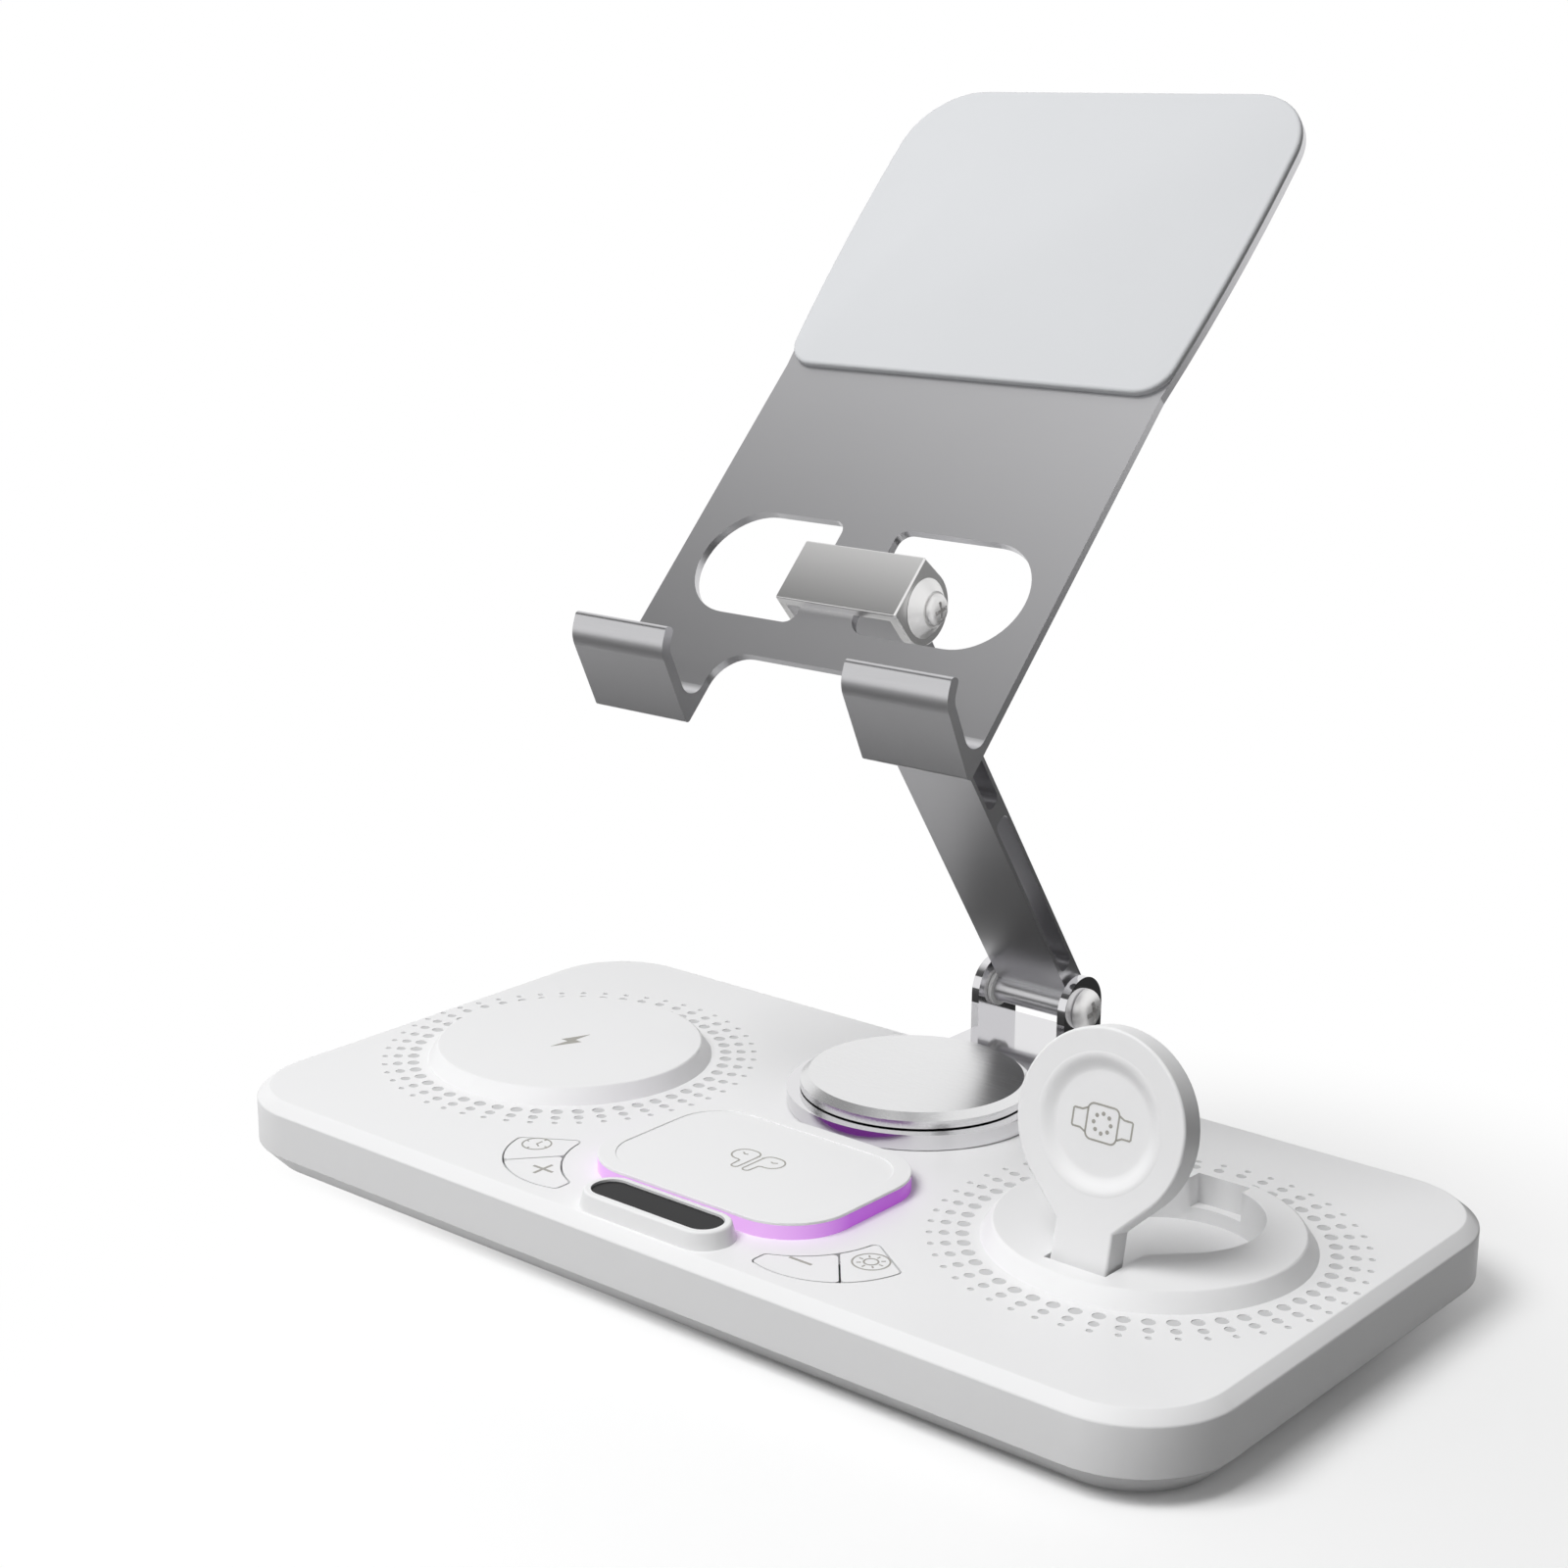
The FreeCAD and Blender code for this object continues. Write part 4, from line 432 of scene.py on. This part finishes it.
def taken_out(solid, cutter):
    """The first closed bmesh with the second taken out of it."""
    blank = add_object("cut_blank", mesh_from("cut_blank", solid))
    tool = add_object("cut_tool", mesh_from("cut_tool", cutter))
    sink = blank.modifiers.new("cut", "BOOLEAN")
    sink.operation = "DIFFERENCE"
    sink.solver = "EXACT"
    sink.object = tool
    bpy.context.view_layer.update()
    depsgraph = bpy.context.evaluated_depsgraph_get()
    cut_mesh = bpy.data.meshes.new_from_object(blank.evaluated_get(depsgraph))
    result = bmesh.new()
    result.from_mesh(cut_mesh)
    for mesh in (blank.data, tool.data, cut_mesh):
        bpy.data.meshes.remove(mesh)
    return result


def band(shape, first, second):
    """Join two rings of as many points, corner by corner."""
    for n in range(len(first)):
        m = (n + 1) % len(first)
        shape.faces.new((first[n], first[m], second[m], second[n]))


def skin(shape, rings):
    """Join closed rings of points, in order, into a shell with capped ends."""
    rows = [[shape.verts.new(point) for point in ring] for ring in rings]
    for first, second in zip(rows, rows[1:]):
        band(shape, first, second)
    shape.faces.new(rows[0][::-1])
    shape.faces.new(rows[-1])
    bmesh.ops.recalc_face_normals(shape, faces=shape.faces)


def arc(centre, radius, start, end, steps=24):
    """Points on an arc, angles in degrees, ends included."""
    points = []
    for n in range(steps + 1):
        turn = math.radians(start + (end - start) * n / steps)
        points.append((centre[0] + radius * math.cos(turn), centre[1] + radius * math.sin(turn)))
    return points


def circle(radius, steps=48, centre=(0, 0)):
    """Points evenly spaced on a circle, anticlockwise."""
    return arc(centre, radius, 0, 360 - 360 / steps, steps - 1)


def round_box(low, high, radius):
    """Outline of a rectangle with round corners, anticlockwise."""
    left, right = low[0] + radius, high[0] - radius
    near, far = low[1] + radius, high[1] - radius
    outline = []
    for x, y, start in ((right, far, 0), (left, far, 90), (left, near, 180), (right, near, 270)):
        outline += arc((x, y), radius, start, start + 90, CORNER_STEPS)
    return outline


def turned(profile, steps=TURN_STEPS):
    """Rings of a profile of radius and height, turned about Z."""
    turns = [2 * math.pi * n / steps for n in range(steps)]
    return [[(r * math.cos(a), r * math.sin(a), h) for a in turns] for r, h in profile]


def set_in_frame(shape, spot):
    """Take a shape drawn in millimetres to its place in the frame."""
    bmesh.ops.transform(shape, matrix=spot @ Matrix.Scale(MM, 4), verts=shape.verts)
    return shape


def surface_tree(name):
    """The surface of a CAD piece, for finding heights on it."""
    mesh = nodes[name].data
    return BVHTree.FromPolygons([v.co for v in mesh.vertices], [p.vertices for p in mesh.polygons])


def on_top(tree, x, y, lift=0.0):
    """The move to the topmost surface at a place, and lift over it, given in millimetres."""
    hit = tree.ray_cast(Vector((x * MM, y * MM, OVERHEAD)), Vector((0, 0, -1)))
    return Matrix.Translation(Vector((x * MM, y * MM, hit[0].z + lift * MM)))


def shift(x, y, z):
    """A move given in millimetres."""
    return Matrix.Translation(Vector((x, y, z)) * MM)


WATCH_SPOT = (
    shift(*WATCH_HINGE) @ Matrix.Rotation(-WATCH_LEAN, 4, "X") @ shift(0, WATCH_FRONT, WATCH_REACH)
    @ Matrix.Rotation(math.pi / 2, 4, "X")
)
PLATE_SPOT = shift(*PLATE_HINGE) @ Matrix.Rotation(PLATE_SLOPE, 4, "X")


# Top cover with its dimples

def dimple_pegs(low, high, play=0.0):
    """Short round pegs at the dimples round both pads, from low to high over the cover's face."""
    cover = surface_tree("top_cover")
    pegs = bmesh.new()
    for side in (-1, 1):
        for radius, diameter in DIMPLE_RINGS:
            for n in range(DIMPLE_COUNT):
                turn = 2 * math.pi * n / DIMPLE_COUNT
                x = side * PAD_X + radius * math.cos(turn)
                y = PAD_Y + radius * math.sin(turn)
                wide = (diameter / 2 - play) * MM
                bmesh.ops.create_cone(
                    pegs, cap_ends=True, segments=DIMPLE_SIDES, radius1=wide, radius2=wide,
                    depth=(high - low) * MM, matrix=on_top(cover, x, y, (low + high) / 2),
                )
    return pegs


def welded_copy(source):
    """A bmesh of a CAD piece with its seams closed and its level faces whole."""
    shell = bmesh.new()
    shell.from_mesh(source.data)
    bmesh.ops.remove_doubles(shell, verts=shell.verts, dist=WELD * MM)
    shell.normal_update()
    inside_level = [
        edge for edge in shell.edges
        if len(edge.link_faces) == 2 and all(face.normal.z > LEVEL for face in edge.link_faces)
    ]
    bmesh.ops.dissolve_edges(shell, edges=inside_level, use_verts=False)
    return shell


def make_top_cover():
    """The top cover with its dimples, shaded flat on its level faces."""
    shape = taken_out(welded_copy(nodes["top_cover"]), dimple_pegs(-DIMPLE_DEPTH, DIMPLE_DEPTH))
    cover = stand_in("top_cover_dimpled", shape, "top_cover", smooth=28)
    for face in cover.data.polygons:
        face.use_smooth = face.normal.z < LEVEL


make_top_cover()
# Floors in the dimples, painted grey as the shade of the hollows
new_piece(
    "dimple_painted_shade_floors",
    dimple_pegs(-DIMPLE_DEPTH - DIMPLE_FILL, -DIMPLE_DEPTH + DIMPLE_FILL, DIMPLE_PLAY),
    body_of["top_cover"], DIMPLE_PAINTED_SHADE,
)


# Watch dish

def make_watch_dish():
    """A shallow dish whose lip runs smoothly into the holder's front."""
    start, end = DISH_WALL
    wall = []
    for n in range(DISH_WALL_STEPS + 1):
        share = n / DISH_WALL_STEPS
        fall = 0.5 - 0.5 * math.cos(math.pi * share)
        height = DISH_BACK[-1][1] * (1 - fall) - DISH_HOLLOW * fall
        wall.append((start + (end - start) * share, height))
    dish = bmesh.new()
    skin(dish, turned((*DISH_BACK, *wall, *DISH_MIDDLE)))
    stand_in("watch_dish_turned", set_in_frame(dish, WATCH_SPOT), "watch_dish")


make_watch_dish()


# Soft pieces

def spaced(points, steps):
    """Points evenly spaced along a closed line."""
    loop = [Vector(p) for p in points] + [Vector(points[0])]
    lengths = [0.0]
    for before, after in zip(loop, loop[1:]):
        lengths.append(lengths[-1] + (after - before).length)
    even, n = [], 0
    for k in range(steps):
        reach = lengths[-1] * k / steps
        while lengths[n + 1] < reach:
            n += 1
        share = (reach - lengths[n]) / (lengths[n + 1] - lengths[n])
        even.append(loop[n].lerp(loop[n + 1], share))
    return even


def drawn_in(points, inset):
    """A closed line moved inwards, for points that run anticlockwise."""
    count = len(points)
    moved = []
    for n, point in enumerate(points):
        along = (points[(n + 1) % count] - points[n - 1]).normalized()
        moved.append(point + Vector((-along.y, along.x)) * inset)
    return moved


def outline_of(node_name, spot, level):
    """A CAD piece's outline at one level of its own axes, in millimetres, anticlockwise."""
    back = spot.inverted()
    points = set()
    for vertex in nodes[node_name].data.vertices:
        place = back @ vertex.co / MM
        if abs(place.z - level) < SAME_LEVEL:
            points.add((round(place.x, 3), round(place.y, 3)))
    middle = sum((Vector(p) for p in points), Vector((0, 0))) / len(points)
    return sorted(points, key=lambda p: math.atan2(p[1] - middle.y, p[0] - middle.x))


def soft_slab(outline, back, front, edge):
    """A slab from back to front over an outline, its front edge following inset and depth pairs."""
    way = 1 if front > back else -1
    rings = [[(p.x, p.y, back) for p in outline]]
    for inset, depth in edge:
        rings.append([(p.x, p.y, front - way * depth) for p in drawn_in(outline, inset)])
    slab = bmesh.new()
    skin(slab, rings)
    return slab


def make_plate_pad():
    """The phone plate's soft pad, with rolled edges."""
    outline = spaced(outline_of("plate_pad", PLATE_SPOT, PLATE_FRONT), OUTLINE_STEPS)
    heights = [(PLATE_SPOT.inverted() @ v.co).z / MM for v in nodes["plate_pad"].data.vertices]
    pad = soft_slab(outline, PLATE_FRONT, max(heights), SOFT_EDGE)
    stand_in("plate_pad_soft", set_in_frame(pad, PLATE_SPOT), "plate_pad")


def make_mat():
    """The non-slip mat under the base, with rolled edges and a groove inside them."""
    low, high = (corner.z / MM for corner in map(Vector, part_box("non_slip_mat")))
    outline = spaced(outline_of("non_slip_mat", Matrix.Identity(4), high), OUTLINE_STEPS)
    mat = soft_slab(outline, high, low, MAT_EDGE)
    stand_in("non_slip_mat_soft", set_in_frame(mat, Matrix.Identity(4)), "non_slip_mat")


def make_hook_pads():
    """Soft pads inside the hooks, with round corners and rolled edges."""
    spot = PLATE_SPOT @ Matrix.Rotation(-HOOK_LEAN, 4, "X") @ Matrix.Rotation(-math.pi / 2, 4, "X")
    places = [spot.inverted() @ v.co / MM for v in nodes["hook_pads"].data.vertices]
    pads = bmesh.new()
    for side in (-1, 1):
        mine = [p for p in places if p.x * side > 0]
        low = Vector(min(p[axis] for p in mine) for axis in range(3))
        high = Vector(max(p[axis] for p in mine) for axis in range(3))
        outline = [Vector(p) for p in round_box(low, high, HOOK_PAD_CORNER)]
        put_in(pads, soft_slab(outline, low.z, high.z, PAD_EDGE))
    stand_in("hook_pads_soft", set_in_frame(pads, spot), "hook_pads")


make_plate_pad()
make_mat()
make_hook_pads()


# Folded bracket

def make_bracket():
    """A sheet bracket: a flat web across the tongue, and two flanges that run round the hinge."""
    corner_steps, eye_steps, hole_steps = BRACKET_STEPS
    side = BRACKET_HIGH / 2 - BRACKET_CORNER
    lift = PLATE_FRONT + BRACKET_SHEET - BRACKET_CORNER
    slant = math.acos((BRACKET_EYE - BRACKET_CORNER) / math.hypot(side, lift))
    flare = math.degrees(math.atan2(lift, side) - slant)
    outline = [Vector(p) for p in (
        *arc((side, lift), BRACKET_CORNER, flare, 90, corner_steps),
        *arc((-side, lift), BRACKET_CORNER, 90, 180 - flare, corner_steps),
        *arc((0, 0), BRACKET_EYE, 180 - flare, 360 + flare, eye_steps),
    )]
    rings = []
    for x, inset in (
        (-BRACKET_HALF, BRACKET_WORN), (-BRACKET_HALF + BRACKET_WORN, 0.0),
        (BRACKET_HALF - BRACKET_WORN, 0.0), (BRACKET_HALF, BRACKET_WORN),
    ):
        rings.append([(x, p.x, p.y) for p in drawn_in(outline, inset)])
    block = bmesh.new()
    skin(block, rings)
    reach = TOOL_REACH * BRACKET_HIGH
    room = bmesh.new()
    bmesh.ops.create_cube(room, size=1.0, matrix=(
        Matrix.Translation((0, 0, PLATE_FRONT - reach / 2))
        @ Matrix.Diagonal((2 * (BRACKET_HALF - BRACKET_SHEET), reach, reach, 1))
    ))
    hole = bmesh.new()
    bmesh.ops.create_cone(
        hole, cap_ends=True, segments=hole_steps, radius1=BRACKET_HOLE, radius2=BRACKET_HOLE,
        depth=TOOL_REACH * BRACKET_HALF, matrix=Matrix.Rotation(math.pi / 2, 4, "Y"),
    )
    bracket = taken_out(taken_out(block, room), hole)
    stand_in("hinge_bracket_folded", set_in_frame(bracket, PLATE_SPOT), "hinge_bracket")


make_bracket()


# Hinge screws

def screw_head(radius, height):
    """Profile of a domed head from its rim to its crown: radius and height."""
    profile = [(radius - SCREW_BRIM, 0.0), (radius, SCREW_BRIM)]
    for n in range(1, SCREW_STEPS):
        turn = math.pi / 2 * n / SCREW_STEPS
        level = SCREW_BRIM + (height - SCREW_BRIM) * math.sin(turn)
        profile.append((radius * math.cos(turn) ** SCREW_FLATNESS, level))
    return profile


def cross_tool(radius, height, across):
    """A tapered plus that cuts a screw's cross."""
    foot, top = height * (1 - CROSS_DEPTH), height + CROSS_PAST
    half = CROSS_ARM * radius / 2
    rings = []
    for level, share in ((foot, CROSS_TAPER), (top, 1.0)):
        reach, wide = across / 2 * share, half * (0.5 + 0.5 * share)
        ring = []
        for n in range(4):
            turn = Matrix.Rotation(CROSS_TURN - math.pi / 2 * n, 2)
            for point in ((wide, wide), (reach, wide), (reach, -wide)):
                place = turn @ Vector(point)
                ring.append((place.x, place.y, level))
        rings.append(ring[::-1])
    tool = bmesh.new()
    skin(tool, rings)
    return tool


def make_screws(name, node_name, screw):
    """Both screws of a hinge: domed heads with a cross, on plain shanks."""
    radius, height, across, shank, length = screw
    low, high = (Vector(corner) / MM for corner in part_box(node_name))
    middle = (low + high) / 2
    both = bmesh.new()
    for side in (-1, 1):
        blank = bmesh.new()
        profile = ((shank, -length), (shank, -SCREW_UNDERCUT), *screw_head(radius, height))
        skin(blank, turned(profile, SCREW_SIDES))
        head = taken_out(blank, cross_tool(radius, height, across))
        end = high.x if side > 0 else low.x
        spot = Matrix.Translation(Vector((end - side * height, middle.y, middle.z)))
        bmesh.ops.transform(
            head, matrix=spot @ Matrix.Rotation(side * math.pi / 2, 4, "Y"), verts=head.verts,
        )
        put_in(both, head)
    stand_in(name, set_in_frame(both, Matrix.Identity(4)), node_name, smooth=35)


make_screws("lower_hinge_screws_cross", "lower_hinge_screws", LOWER_SCREW)
make_screws("upper_hinge_screws_cross", "upper_hinge_screws", UPPER_SCREW)


# Printed marks, drawn in millimetres about their middle

def stroke(shape, points, width, closed=False):
    """Add a printed line of even width along points to a bmesh, as a thin raised strip."""
    count = len(points)
    rows = []
    for n, point in enumerate(points):
        here = Vector(point)
        before = Vector(points[(n - 1) % count]) if closed or n > 0 else None
        after = Vector(points[(n + 1) % count]) if closed or n < count - 1 else None
        into = (here - before).normalized() if before else (after - here).normalized()
        out = (after - here).normalized() if after else into
        along = (into + out).normalized()
        across = Vector((-along.y, along.x))
        mitre = max(MITRE_LIMIT, across.dot(Vector((-into.y, into.x))))
        reach = width / 2 / mitre
        left, right = here + across * reach, here - across * reach
        rows.append([shape.verts.new((p.x, p.y, height)) for p, height in (
            (left, INK_HEIGHT), (right, INK_HEIGHT), (right, -INK_HEIGHT), (left, -INK_HEIGHT),
        )])
    for first, second in zip(rows, rows[1:] + rows[:1] if closed else rows[1:]):
        band(shape, first, second)
    if not closed:
        shape.faces.new(rows[0][::-1])
        shape.faces.new(rows[-1])


def blot(shape, points):
    """Add a filled printed area, given its outline, to a bmesh."""
    top = [shape.verts.new((x, y, INK_HEIGHT)) for x, y in points]
    foot = [shape.verts.new((x, y, -INK_HEIGHT)) for x, y in points]
    shape.faces.new(top)
    shape.faces.new(foot[::-1])
    band(shape, foot, top)


def rays(shape, count, start, end):
    """Add short printed lines that point outwards, from one radius to another."""
    for ends in zip(circle(start, count), circle(end, count)):
        stroke(shape, ends, THIN_LINE)


def bolt_mark(shape):
    """A flash of lightning."""
    blot(shape, ((0.4, 4.9), (-2.0, -0.6), (-0.35, -0.6), (-0.8, -4.9), (2.0, 0.8), (0.25, 0.8)))


def earbud_mark(shape):
    """Two plain earbuds side by side: round heads outwards on stems that stand together."""
    for side in (-1, 1):
        line = [
            (0.55, -3.3), (0.55, 2.0), *arc((2.2, 2.0), 1.65, 180, 95, 10),
            *arc((3.1, 1.35), 2.3, 88, -100, 24), (2.15, -1.2), (2.0, -3.3),
            *arc((1.275, -3.3), 0.725, -12, -168, 10),
        ]
        stroke(shape, [(side * x, y) for x, y in line], THIN_LINE, closed=True)
        stroke(shape, [(side * 2.6, 1.7), (side * 3.2, 1.5), (side * 3.9, 2.0)], THIN_LINE)


def clock_mark(shape):
    """A dial with two hands and four ticks."""
    stroke(shape, circle(2.6), THIN_LINE, closed=True)
    stroke(shape, [(0.0, 1.4), (0.0, 0.0), (1.0, -0.6)], THIN_LINE)
    rays(shape, 4, 1.95, 2.45)


def plus_mark(shape):
    """A plus sign in one piece."""
    arm, half = SIGN_ARM, SIGN_LINE / 2
    blot(shape, (
        (half, half), (half, arm), (-half, arm), (-half, half), (-arm, half), (-arm, -half),
        (-half, -half), (-half, -arm), (half, -arm), (half, -half), (arm, -half), (arm, half),
    ))


def minus_mark(shape):
    """A minus sign."""
    stroke(shape, [(-SIGN_ARM, 0.0), (SIGN_ARM, 0.0)], SIGN_LINE)


def lamp_mark(shape):
    """A small sun in a ring."""
    stroke(shape, circle(3.1), THIN_LINE, closed=True)
    stroke(shape, circle(1.2, 32), THIN_LINE, closed=True)
    rays(shape, 8, 1.65, 2.4)


def watch_mark(shape):
    """A plain watch with a square case, short straps and dots round its dial."""
    half, corner, dial, dot = 2.9, 1.1, 1.6, 0.34
    stroke(shape, round_box((-half, -half), (half, half), corner), THIN_LINE, closed=True)
    for side in (-1, 1):
        stroke(shape, [(side * x, y) for x, y in (
            (half, 2.0), (3.9, 1.5), (5.3, 1.5), (5.5, 1.3), (5.5, -1.3), (5.3, -1.5), (3.9, -1.5),
            (half, -2.0),
        )], THIN_LINE)
    for place in circle(dial, 8):
        blot(shape, circle(dot, 20, place))


def print_mark(name, draw, spot, body):
    """Lay a mark on its surface; spot takes the drawing into the frame."""
    shape = bmesh.new()
    draw(shape)
    bmesh.ops.recalc_face_normals(shape, faces=shape.faces)
    new_piece(name, set_in_frame(shape, spot), body, INK)


for name, draw, carrier, spot in (
    ("phone_pad_mark", bolt_mark, "top_cover", BOLT_SPOT),
    ("earbud_pad_mark", earbud_mark, "earbud_lid", EARBUD_SPOT),
    ("clock_key_mark", clock_mark, "clock_key", CLOCK_SPOT),
    ("plus_key_mark", plus_mark, "plus_key", PLUS_SPOT),
    ("minus_key_mark", minus_mark, "minus_key", MINUS_SPOT),
    ("light_key_mark", lamp_mark, "light_key", LAMP_SPOT),
):
    print_mark(name, draw, on_top(surface_tree(carrier), *spot), body_of[carrier])
print_mark(
    "watch_dish_mark", watch_mark, WATCH_SPOT @ shift(0, 0, DISH_MIDDLE[-1][1]),
    body_of["watch_dish"],
)


# Stage

def seen_plainly(tree):
    """A factor of 1 for camera, glossy and transmission rays."""
    ray = tree.nodes.new("ShaderNodeLightPath")
    factor = ray.outputs["Is Camera Ray"]
    for kind in ("Is Glossy Ray", "Is Transmission Ray"):
        either = tree.nodes.new("ShaderNodeMath")
        either.operation = "MAXIMUM"
        tree.links.new(factor, either.inputs[0])
        tree.links.new(ray.outputs[kind], either.inputs[1])
        factor = either.outputs["Value"]
    return factor


def floor_material():
    """Matt white paint that holds the shadow near the object and runs out to the white backdrop."""
    material = bpy.data.materials.new("studio_floor_finish")
    material.use_nodes = True
    tree = material.node_tree
    tree.nodes.remove(tree.nodes["Principled BSDF"])
    paint = tree.nodes.new("ShaderNodeBsdfDiffuse")
    glow = node(tree, "ShaderNodeEmission", Color=(1, 1, 1, 1), Strength=1.0)
    shade = tree.nodes.new("ShaderNodeMix")
    shade.data_type = "RGBA"
    shade.inputs["A"].default_value = FLOOR_BOUNCE
    shade.inputs["B"].default_value = FLOOR_SEEN
    place = tree.nodes.new("ShaderNodeTexCoord")
    away = tree.nodes.new("ShaderNodeVectorMath")
    away.operation = "DISTANCE"
    away.inputs[1].default_value = FLOOR_SHADE_SPOT
    fade = map_range(tree, FLOOR_FADE)
    fade.interpolation_type = "SMOOTHSTEP"
    share = tree.nodes.new("ShaderNodeMath")
    share.operation = "MULTIPLY"
    blend = tree.nodes.new("ShaderNodeMixShader")
    seen = seen_plainly(tree)
    link = tree.links.new
    link(seen, shade.inputs["Factor"])
    link(shade.outputs["Result"], paint.inputs["Color"])
    link(place.outputs["Object"], away.inputs[0])
    link(away.outputs["Value"], fade.inputs["Value"])
    link(fade.outputs["Result"], share.inputs[0])
    link(seen, share.inputs[1])
    link(share.outputs["Value"], blend.inputs["Fac"])
    link(paint.outputs["BSDF"], blend.inputs[1])
    link(glow.outputs["Emission"], blend.inputs[2])
    link(blend.outputs["Shader"], tree.nodes["Material Output"].inputs["Surface"])
    return material


def stage_piece(name, shape, material):
    """Turn a finished bmesh into a piece of the studio."""
    mesh = mesh_from(name, shape)
    mesh.materials.append(material)
    item = add_object(name, mesh)
    return item


def make_floor():
    """A wide pale floor."""
    disc = bmesh.new()
    bmesh.ops.create_circle(disc, cap_ends=True, segments=FLOOR_SIDES, radius=FLOOR_RADIUS)
    stage_piece("studio_floor", disc, floor_material())


def make_card(name, place, aim, along, width, height, shades):
    """A grey card near the object that only metal and gloss show, and only its front; its shades
    paint reflections on the metal.
    """
    material = bpy.data.materials.new(name + "_finish")
    material.use_nodes = True
    tree = material.node_tree
    tree.nodes.remove(tree.nodes["Principled BSDF"])
    glow = tree.nodes.new("ShaderNodeEmission")
    spread = tree.nodes.new("ShaderNodeTexCoord")
    split = tree.nodes.new("ShaderNodeSeparateXYZ")
    side = tree.nodes.new("ShaderNodeNewGeometry")
    clear = tree.nodes.new("ShaderNodeBsdfTransparent")
    blend = tree.nodes.new("ShaderNodeMixShader")
    # The card's grey shades: painted reflection and shade on the metal that faces it
    ramp = shade_ramp(tree, [(position, (grey, grey, grey, 1)) for position, grey in shades])
    link = tree.links.new
    link(spread.outputs["Generated"], split.inputs["Vector"])
    link(split.outputs["Y"], ramp.inputs["Fac"])
    link(ramp.outputs["Color"], glow.inputs["Color"])
    link(side.outputs["Backfacing"], blend.inputs["Fac"])
    link(glow.outputs["Emission"], blend.inputs[1])
    link(clear.outputs["BSDF"], blend.inputs[2])
    link(blend.outputs["Shader"], tree.nodes["Material Output"].inputs["Surface"])
    sheet = bmesh.new()
    bmesh.ops.create_grid(
        sheet, x_segments=CARD_PARTS, y_segments=CARD_PARTS, size=0.5,
        matrix=Matrix.Diagonal((width, height, 1, 1)),
    )
    card = stage_piece(name, sheet, material)
    facing = (Vector(aim) - Vector(place)).normalized()
    up = Vector(along) - facing * facing.dot(Vector(along))
    up.normalize()
    turn = Matrix((up.cross(facing), up, facing)).transposed().to_4x4()
    card.matrix_world = Matrix.Translation(Vector(place)) @ turn
    card.visible_camera = False
    card.visible_diffuse = False
    card.visible_transmission = False
    card.visible_volume_scatter = False
    card.visible_shadow = False


def make_world():
    """White backdrop, and soft fill light that is brightest from above at the left front."""
    world = bpy.data.worlds.new("studio")
    bpy.context.scene.world = world
    world.use_nodes = True
    tree = world.node_tree
    backdrop = node(tree, "ShaderNodeBackground", Color=(1, 1, 1, 1), Strength=1.0)
    fill = tree.nodes["Background"]
    place = tree.nodes.new("ShaderNodeTexCoord")
    lean = tree.nodes.new("ShaderNodeVectorMath")
    lean.operation = "DOT_PRODUCT"
    lean.inputs[1].default_value = Vector(FILL_FROM).normalized()
    ramp = map_range(tree, FILL_RAMP)
    blend = tree.nodes.new("ShaderNodeMixShader")
    link = tree.links.new
    link(place.outputs["Generated"], lean.inputs[0])
    link(lean.outputs["Value"], ramp.inputs["Value"])
    link(ramp.outputs["Result"], fill.inputs["Color"])
    link(seen_plainly(tree), blend.inputs["Fac"])
    link(fill.outputs["Background"], blend.inputs[1])
    link(backdrop.outputs["Background"], blend.inputs[2])
    link(blend.outputs["Shader"], tree.nodes["World Output"].inputs["Surface"])


def make_lamp(name, place, aim, size, power):
    """A soft square lamp; place, aim and size in metres."""
    data = bpy.data.lights.new(name, "AREA")
    data.shape = "SQUARE"
    data.size = size
    data.energy = power
    lamp = add_object(name, data)
    lamp.location = place
    lamp.rotation_euler = (Vector(aim) - Vector(place)).to_track_quat("-Z", "Y").to_euler()
    lamp.visible_glossy = False


def make_camera():
    """The photograph's viewpoint, for a square picture."""
    data = bpy.data.cameras.new("photo_camera")
    data.lens = CAMERA_LENS
    data.sensor_width = CAMERA_SENSOR
    data.shift_x, data.shift_y = CAMERA_SHIFT
    data.clip_start = CAMERA_NEAR
    camera = add_object("photo_camera", data)
    yaw, pitch, roll = (math.radians(angle) for angle in CAMERA_TURN)
    turn = (
        Matrix.Rotation(yaw, 4, "Z") @ Matrix.Rotation(math.pi / 2 - pitch, 4, "X")
        @ Matrix.Rotation(roll, 4, "Z")
    )
    camera.matrix_world = Matrix.Translation(Vector(CAMERA_PLACE)) @ turn
    bpy.context.scene.camera = camera


make_floor()
for card in CARDS:
    make_card(*card)
make_world()
make_lamp("overhead_softbox", LAMP_PLACE, LAMP_AIM, LAMP_SIZE, LAMP_POWER)
make_camera()
bpy.context.scene.view_settings.view_transform = "Standard"
